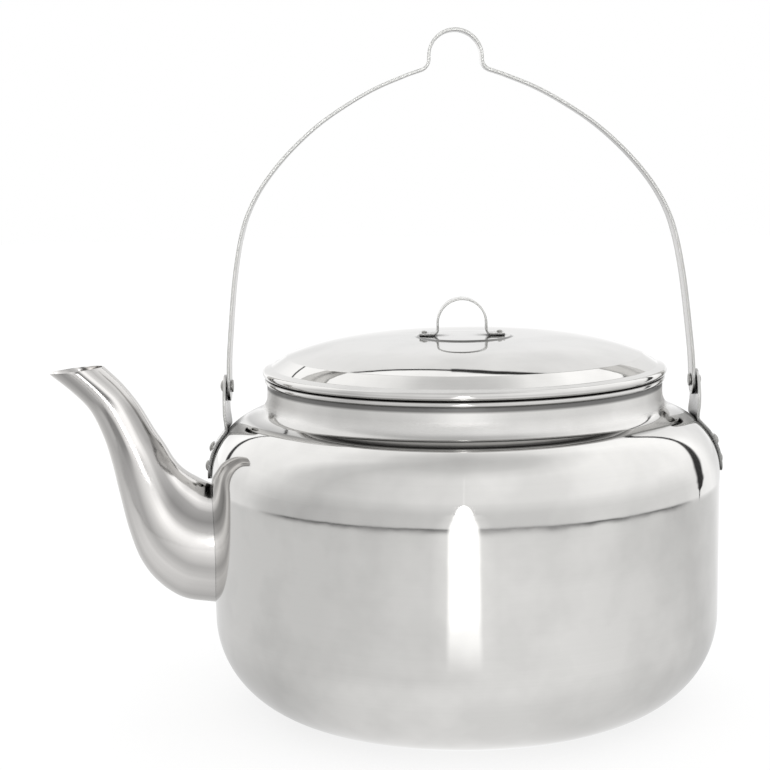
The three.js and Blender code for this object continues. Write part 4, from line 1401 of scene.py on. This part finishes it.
def table_greys(add, share, reach):
    """The lit table top: by bearing, with a painted shadow and painted light of the kettle close to
    it.
    """
    table = add("ShaderNodeValToRGB", [share], [
        (0.0, 1.15), (0.06, 0.95), (0.14, 0.86), (0.34, 0.85), (0.42, 0.95), (0.47, 1.0),
        (0.53, 1.16), (0.61, 1.09), (0.7, 0.99), (0.78, 0.84), (0.86, 0.9), (0.93, 1.05),
        (0.98, 1.25), (1.0, 1.15)])
    # Painted shadow of the kettle on the table, just round its foot.
    foot = add("ShaderNodeValToRGB", [reach], [(0.033, 0.92), (0.042, 1.0)])
    close = add("ShaderNodeValToRGB", [reach], [(0.038, 1.0), (0.058, 0.0)])
    # Painted light and shade of the kettle on the table round its foot, by bearing.
    round_foot = add("ShaderNodeValToRGB", [share], [
        (0.2, 0.9), (0.33, 0.9), (0.4, 1.1), (0.47, 1.16), (0.52, 1.04), (0.58, 0.93),
        (0.66, 0.88), (0.8, 0.9), (0.9, 1.0)])
    near = add("ShaderNodeMix", (close, 1.0, round_foot))
    footed = add("ShaderNodeMath", (foot, near), operation="MULTIPLY")
    return add("ShaderNodeMath", (table, footed), operation="MULTIPLY")


def low_walls(add, share, reach, radius, joint):
    """The tent's walls as the steel sees them low down, beyond the table top's joint."""
    half_width = bpy.context.scene.kettle_stage.sweep_half_width
    slot_width = add("ShaderNodeValToRGB", [reach], [
        (joint + 0.01, 0.01), (joint + 0.05, 0.06), (0.4, 0.1)])
    # The shoulder sees the table from off the axis, so what lies close seems less far round.
    off_axis = 110 * MM
    shift = add("ShaderNodeMath", (off_axis / half_width, radius), operation="DIVIDE")
    wider = add("ShaderNodeMath", (shift, 1.0), operation="ADD")
    dim = add("ShaderNodeMath", (wall_greys(add, share), 0.8), operation="MULTIPLY")
    sweep = sweep_factors(add, share, 0.0, slot_width, wider)
    return add("ShaderNodeMath", (dim, sweep), operation="MULTIPLY")


def lit_white_acrylic(add, finish):
    # White acrylic table top, lit through from below, in a white surround. The camera sees it pure
    # white, a little darker where the kettle shades it. The steel also sees the dark joint round
    # the table top, and the slit's light on it. Reach, joint and seam are shares of the surround.
    stage = bpy.context.scene.kettle_stage
    place = add("ShaderNodeTexCoord").outputs["Object"]
    radius = add("ShaderNodeVectorMath", [place], operation="LENGTH")
    share = bearing_share(add, place)
    reach = add("ShaderNodeMath", (radius, 1 / stage.surround), operation="MULTIPLY")
    joint = stage.floor_radius / stage.surround
    seam = stage.seam / stage.surround
    beyond = add("ShaderNodeValToRGB", [reach], [(joint, 0.0), (joint + seam, 1.0)])
    seen = add("ShaderNodeMix", (beyond, table_greys(add, share, reach),
                                 low_walls(add, share, reach, radius, joint)))
    spread = add("ShaderNodeValToRGB", [reach], [(joint, 1.0), (joint + 0.03, 0.74), (1.0, 0.6)])
    off_foot = add("ShaderNodeValToRGB", [reach], [(0.068, 0.0), (0.1, 1.0)])
    slit = add("ShaderNodeMath", (slit_light(add, share, spread, 0.14), off_foot),
               operation="MULTIPLY")
    seen = add("ShaderNodeMix", (slit, seen, stage.slit_strength))
    dark = add("ShaderNodeValToRGB", [reach], [
        (joint - seam * 0.4, 0.0), (joint, 1.0), (joint + seam, 1.0), (joint + seam * 1.4, 0.0)])
    in_front = add("ShaderNodeValToRGB", [share], [
        (0.23, 0.0), (0.28, 1.0), (0.76, 1.0), (0.8, 0.0)])
    unlit = add("ShaderNodeMath", (1.0, slit), operation="SUBTRACT")
    for factor in (in_front, unlit):
        dark = add("ShaderNodeMath", (dark, factor), operation="MULTIPLY")
    seen = add("ShaderNodeMix", (dark, seen, 0.03))
    white = rgba(finish.floor)
    mirrored = add("ShaderNodeEmission", (white, seen))
    lit = add("ShaderNodeEmission", (white, 1.1))
    matte = add("ShaderNodeBsdfDiffuse", [(0.8, 0.8, 0.8, 1.0)])
    plain = add("ShaderNodeMixShader", (0.3, lit, matte))
    glossy = add("ShaderNodeLightPath").outputs["Is Glossy Ray"]
    add("ShaderNodeOutputMaterial", [add("ShaderNodeMixShader", (glossy, plain, mirrored))])


def light_tent(scene):
    """The world as a white light tent, by direction: walls, the dark slot round the sweep behind the
    kettle, the slit for the camera, and a duller roof. Height is 0 straight down and 1 straight up."""
    scene.world = bpy.data.worlds.new("light tent")
    scene.world.use_nodes = True
    scene.world.node_tree.nodes.clear()
    add = partial(add_node, scene.world.node_tree)
    way = add("ShaderNodeTexCoord").outputs["Generated"]
    share = bearing_share(add, way)
    upwards = add("ShaderNodeSeparateXYZ", [way]).outputs["Z"]
    up = add("ShaderNodeMath", [upwards], operation="ARCSINE")
    height = add("ShaderNodeMath", (up, 1 / math.pi, 0.5), operation="MULTIPLY_ADD")
    low = add("ShaderNodeValToRGB", [height], [(0.5, 0.82), (0.6, 1.0)])
    walls = add("ShaderNodeMath", (wall_greys(add, share), low), operation="MULTIPLY")
    at_foot = add("ShaderNodeValToRGB", [height], [(0.505, 1.0), (0.54, 0.0)])
    behind = add("ShaderNodeValToRGB", [share], [
        (0.06, 1.0), (0.1, 0.0), (0.9, 0.0), (0.94, 1.0)])
    glare = add("ShaderNodeMath", (at_foot, behind), operation="MULTIPLY")
    walls = add("ShaderNodeMix", (glare, walls, 1.5))
    slot = add("ShaderNodeValToRGB", [height], [
        (0.5, 0.1), (0.54, 0.12), (0.58, 0.09), (0.645, 0.035)])
    slimmer = add("ShaderNodeValToRGB", [share], [(0.3, 0.5), (0.7, 1.0)])
    width = add("ShaderNodeMath", (slot, slimmer), operation="MULTIPLY")
    sweep = sweep_factors(add, share, up, width)
    walls = add("ShaderNodeMath", (walls, sweep), operation="MULTIPLY")
    spread = add("ShaderNodeValToRGB", [height], [
        (0.49, 0.6), (0.53, 0.44), (0.56, 0.26), (0.575, 0.05)])
    slit_height = add("ShaderNodeValToRGB", [height], [
        (0.565, 1.0), (0.578, 0.02), (0.8, 0.02), (0.9, 0.0)])
    slit = add("ShaderNodeMath", (slit_light(add, share, spread, 0.0), slit_height),
               operation="MULTIPLY")
    greys = add("ShaderNodeMix", (slit, walls, scene.kettle_stage.far_slit))
    roof = add("ShaderNodeValToRGB", [height], [
        (0.806, 0.0), (0.867, 0.38), (0.894, 0.67), (0.922, 0.83), (0.97, 1.0)])
    greys = add("ShaderNodeMix", (roof, greys, 0.8))
    shown = add("ShaderNodeMix", (add("ShaderNodeLightPath").outputs["Is Camera Ray"], greys, 1.0))
    glow = add("ShaderNodeBackground", ((1, 1, 1, 1), shown))
    add("ShaderNodeOutputWorld", [glow])


class KETTLE_OT_stage(Operator):
    """Lay the floor, put up the light tent, and set the camera"""
    bl_idname = "kettle.stage"
    bl_label = "Floor, light and camera"

    def execute(self, context):
        scene = context.scene
        stage = scene.kettle_stage
        self.lay_floor(stage)
        light_tent(scene)
        self.set_camera(scene, stage)
        scene.view_settings.view_transform = "Standard"
        return {"FINISHED"}

    @staticmethod
    def lay_floor(stage):
        """A round white floor, just under the kettle's base."""
        level = -0.15 * MM
        rim = arc((0, 0), stage.surround, 0, 360, FLOOR_SIDES)[:-1]
        vertices = [(0, 0, level), *[(x, y, level) for x, y in rim]]
        faces = [[0, 1 + side, 1 + (side + 1) % FLOOR_SIDES] for side in range(FLOOR_SIDES)]
        floor = new_object("floor", plain_mesh("floor", vertices, [], faces))
        floor.data.materials.append(finished(lit_white_acrylic))

    @staticmethod
    def set_camera(scene, stage):
        """The camera, placed in the photograph's view and turned with it about the kettle."""
        data = bpy.data.cameras.new("camera")
        data.sensor_width = SENSOR_WIDTH
        data.lens = LENS
        data.shift_x = CAMERA_SHIFT
        camera = new_object("camera", data)
        swing = Matrix.Rotation(-stage.camera_yaw, 4, "Z")
        place = Matrix.Translation((stage.camera_side, -stage.camera_distance, stage.camera_height))
        tilt = Matrix.Rotation(math.pi / 2 - stage.camera_pitch, 4, "X")
        roll = Matrix.Rotation(stage.camera_roll, 4, "Z")
        camera.matrix_world = swing @ place @ tilt @ roll
        scene.camera = camera


class KETTLE_PT_sidebar(Panel):
    """The kettle's pieces and sizes"""
    bl_label = "Camp coffee kettle"
    bl_idname = "KETTLE_PT_sidebar"
    bl_space_type = "VIEW_3D"
    bl_region_type = "UI"
    bl_category = "Kettle"

    def draw(self, context):
        layout = self.layout
        for operator in OPERATORS:
            layout.operator(operator.bl_idname)
        for label, owner, _ in SETTINGS:
            box = layout.box()
            box.label(text=label)
            values = getattr(context.scene, owner)
            for key in values.__annotations__:
                box.prop(values, key)


SETTINGS = (
    ("Pot", "kettle_pot", PotSizes),
    ("Strainer", "kettle_strainer", StrainerSizes),
    ("Spout", "kettle_spout", SpoutSizes),
    ("Lid", "kettle_lid", LidSizes),
    ("Finger loop", "kettle_loop", LoopSizes),
    ("Bail", "kettle_bail", BailSizes),
    ("Ears", "kettle_ears", EarSizes),
    ("Rivets", "kettle_rivets", RivetSizes),
    ("Finishes", "kettle_finishes", Finishes),
    ("Stage", "kettle_stage", StageSizes),
)
OPERATORS = (
    KETTLE_OT_stage, KETTLE_OT_pot, KETTLE_OT_spout, KETTLE_OT_ears, KETTLE_OT_bail, KETTLE_OT_lid,
    KETTLE_OT_collar, KETTLE_OT_finger_loop, KETTLE_OT_rivets,
)


def register():
    """Registers the property groups, the operators and the panel."""
    for _, owner, group in SETTINGS:
        bpy.utils.register_class(group)
        setattr(bpy.types.Scene, owner, PointerProperty(type=group))
    for operator in OPERATORS:
        bpy.utils.register_class(operator)
    bpy.utils.register_class(KETTLE_PT_sidebar)


def unregister():
    """Takes back what register did, in the opposite order."""
    bpy.utils.unregister_class(KETTLE_PT_sidebar)
    for operator in reversed(OPERATORS):
        bpy.utils.unregister_class(operator)
    for _, owner, group in reversed(SETTINGS):
        delattr(bpy.types.Scene, owner)
        bpy.utils.unregister_class(group)


def main():
    """Builds the whole kettle."""
    register()
    bpy.ops.kettle.stage()
    bpy.ops.kettle.pot()
    bpy.ops.kettle.spout()
    bpy.ops.kettle.ears()
    bpy.ops.kettle.bail()
    bpy.ops.kettle.lid()
    bpy.ops.kettle.collar()
    bpy.ops.kettle.finger_loop()
    bpy.ops.kettle.rivets()


if __name__ == "__main__":
    main()
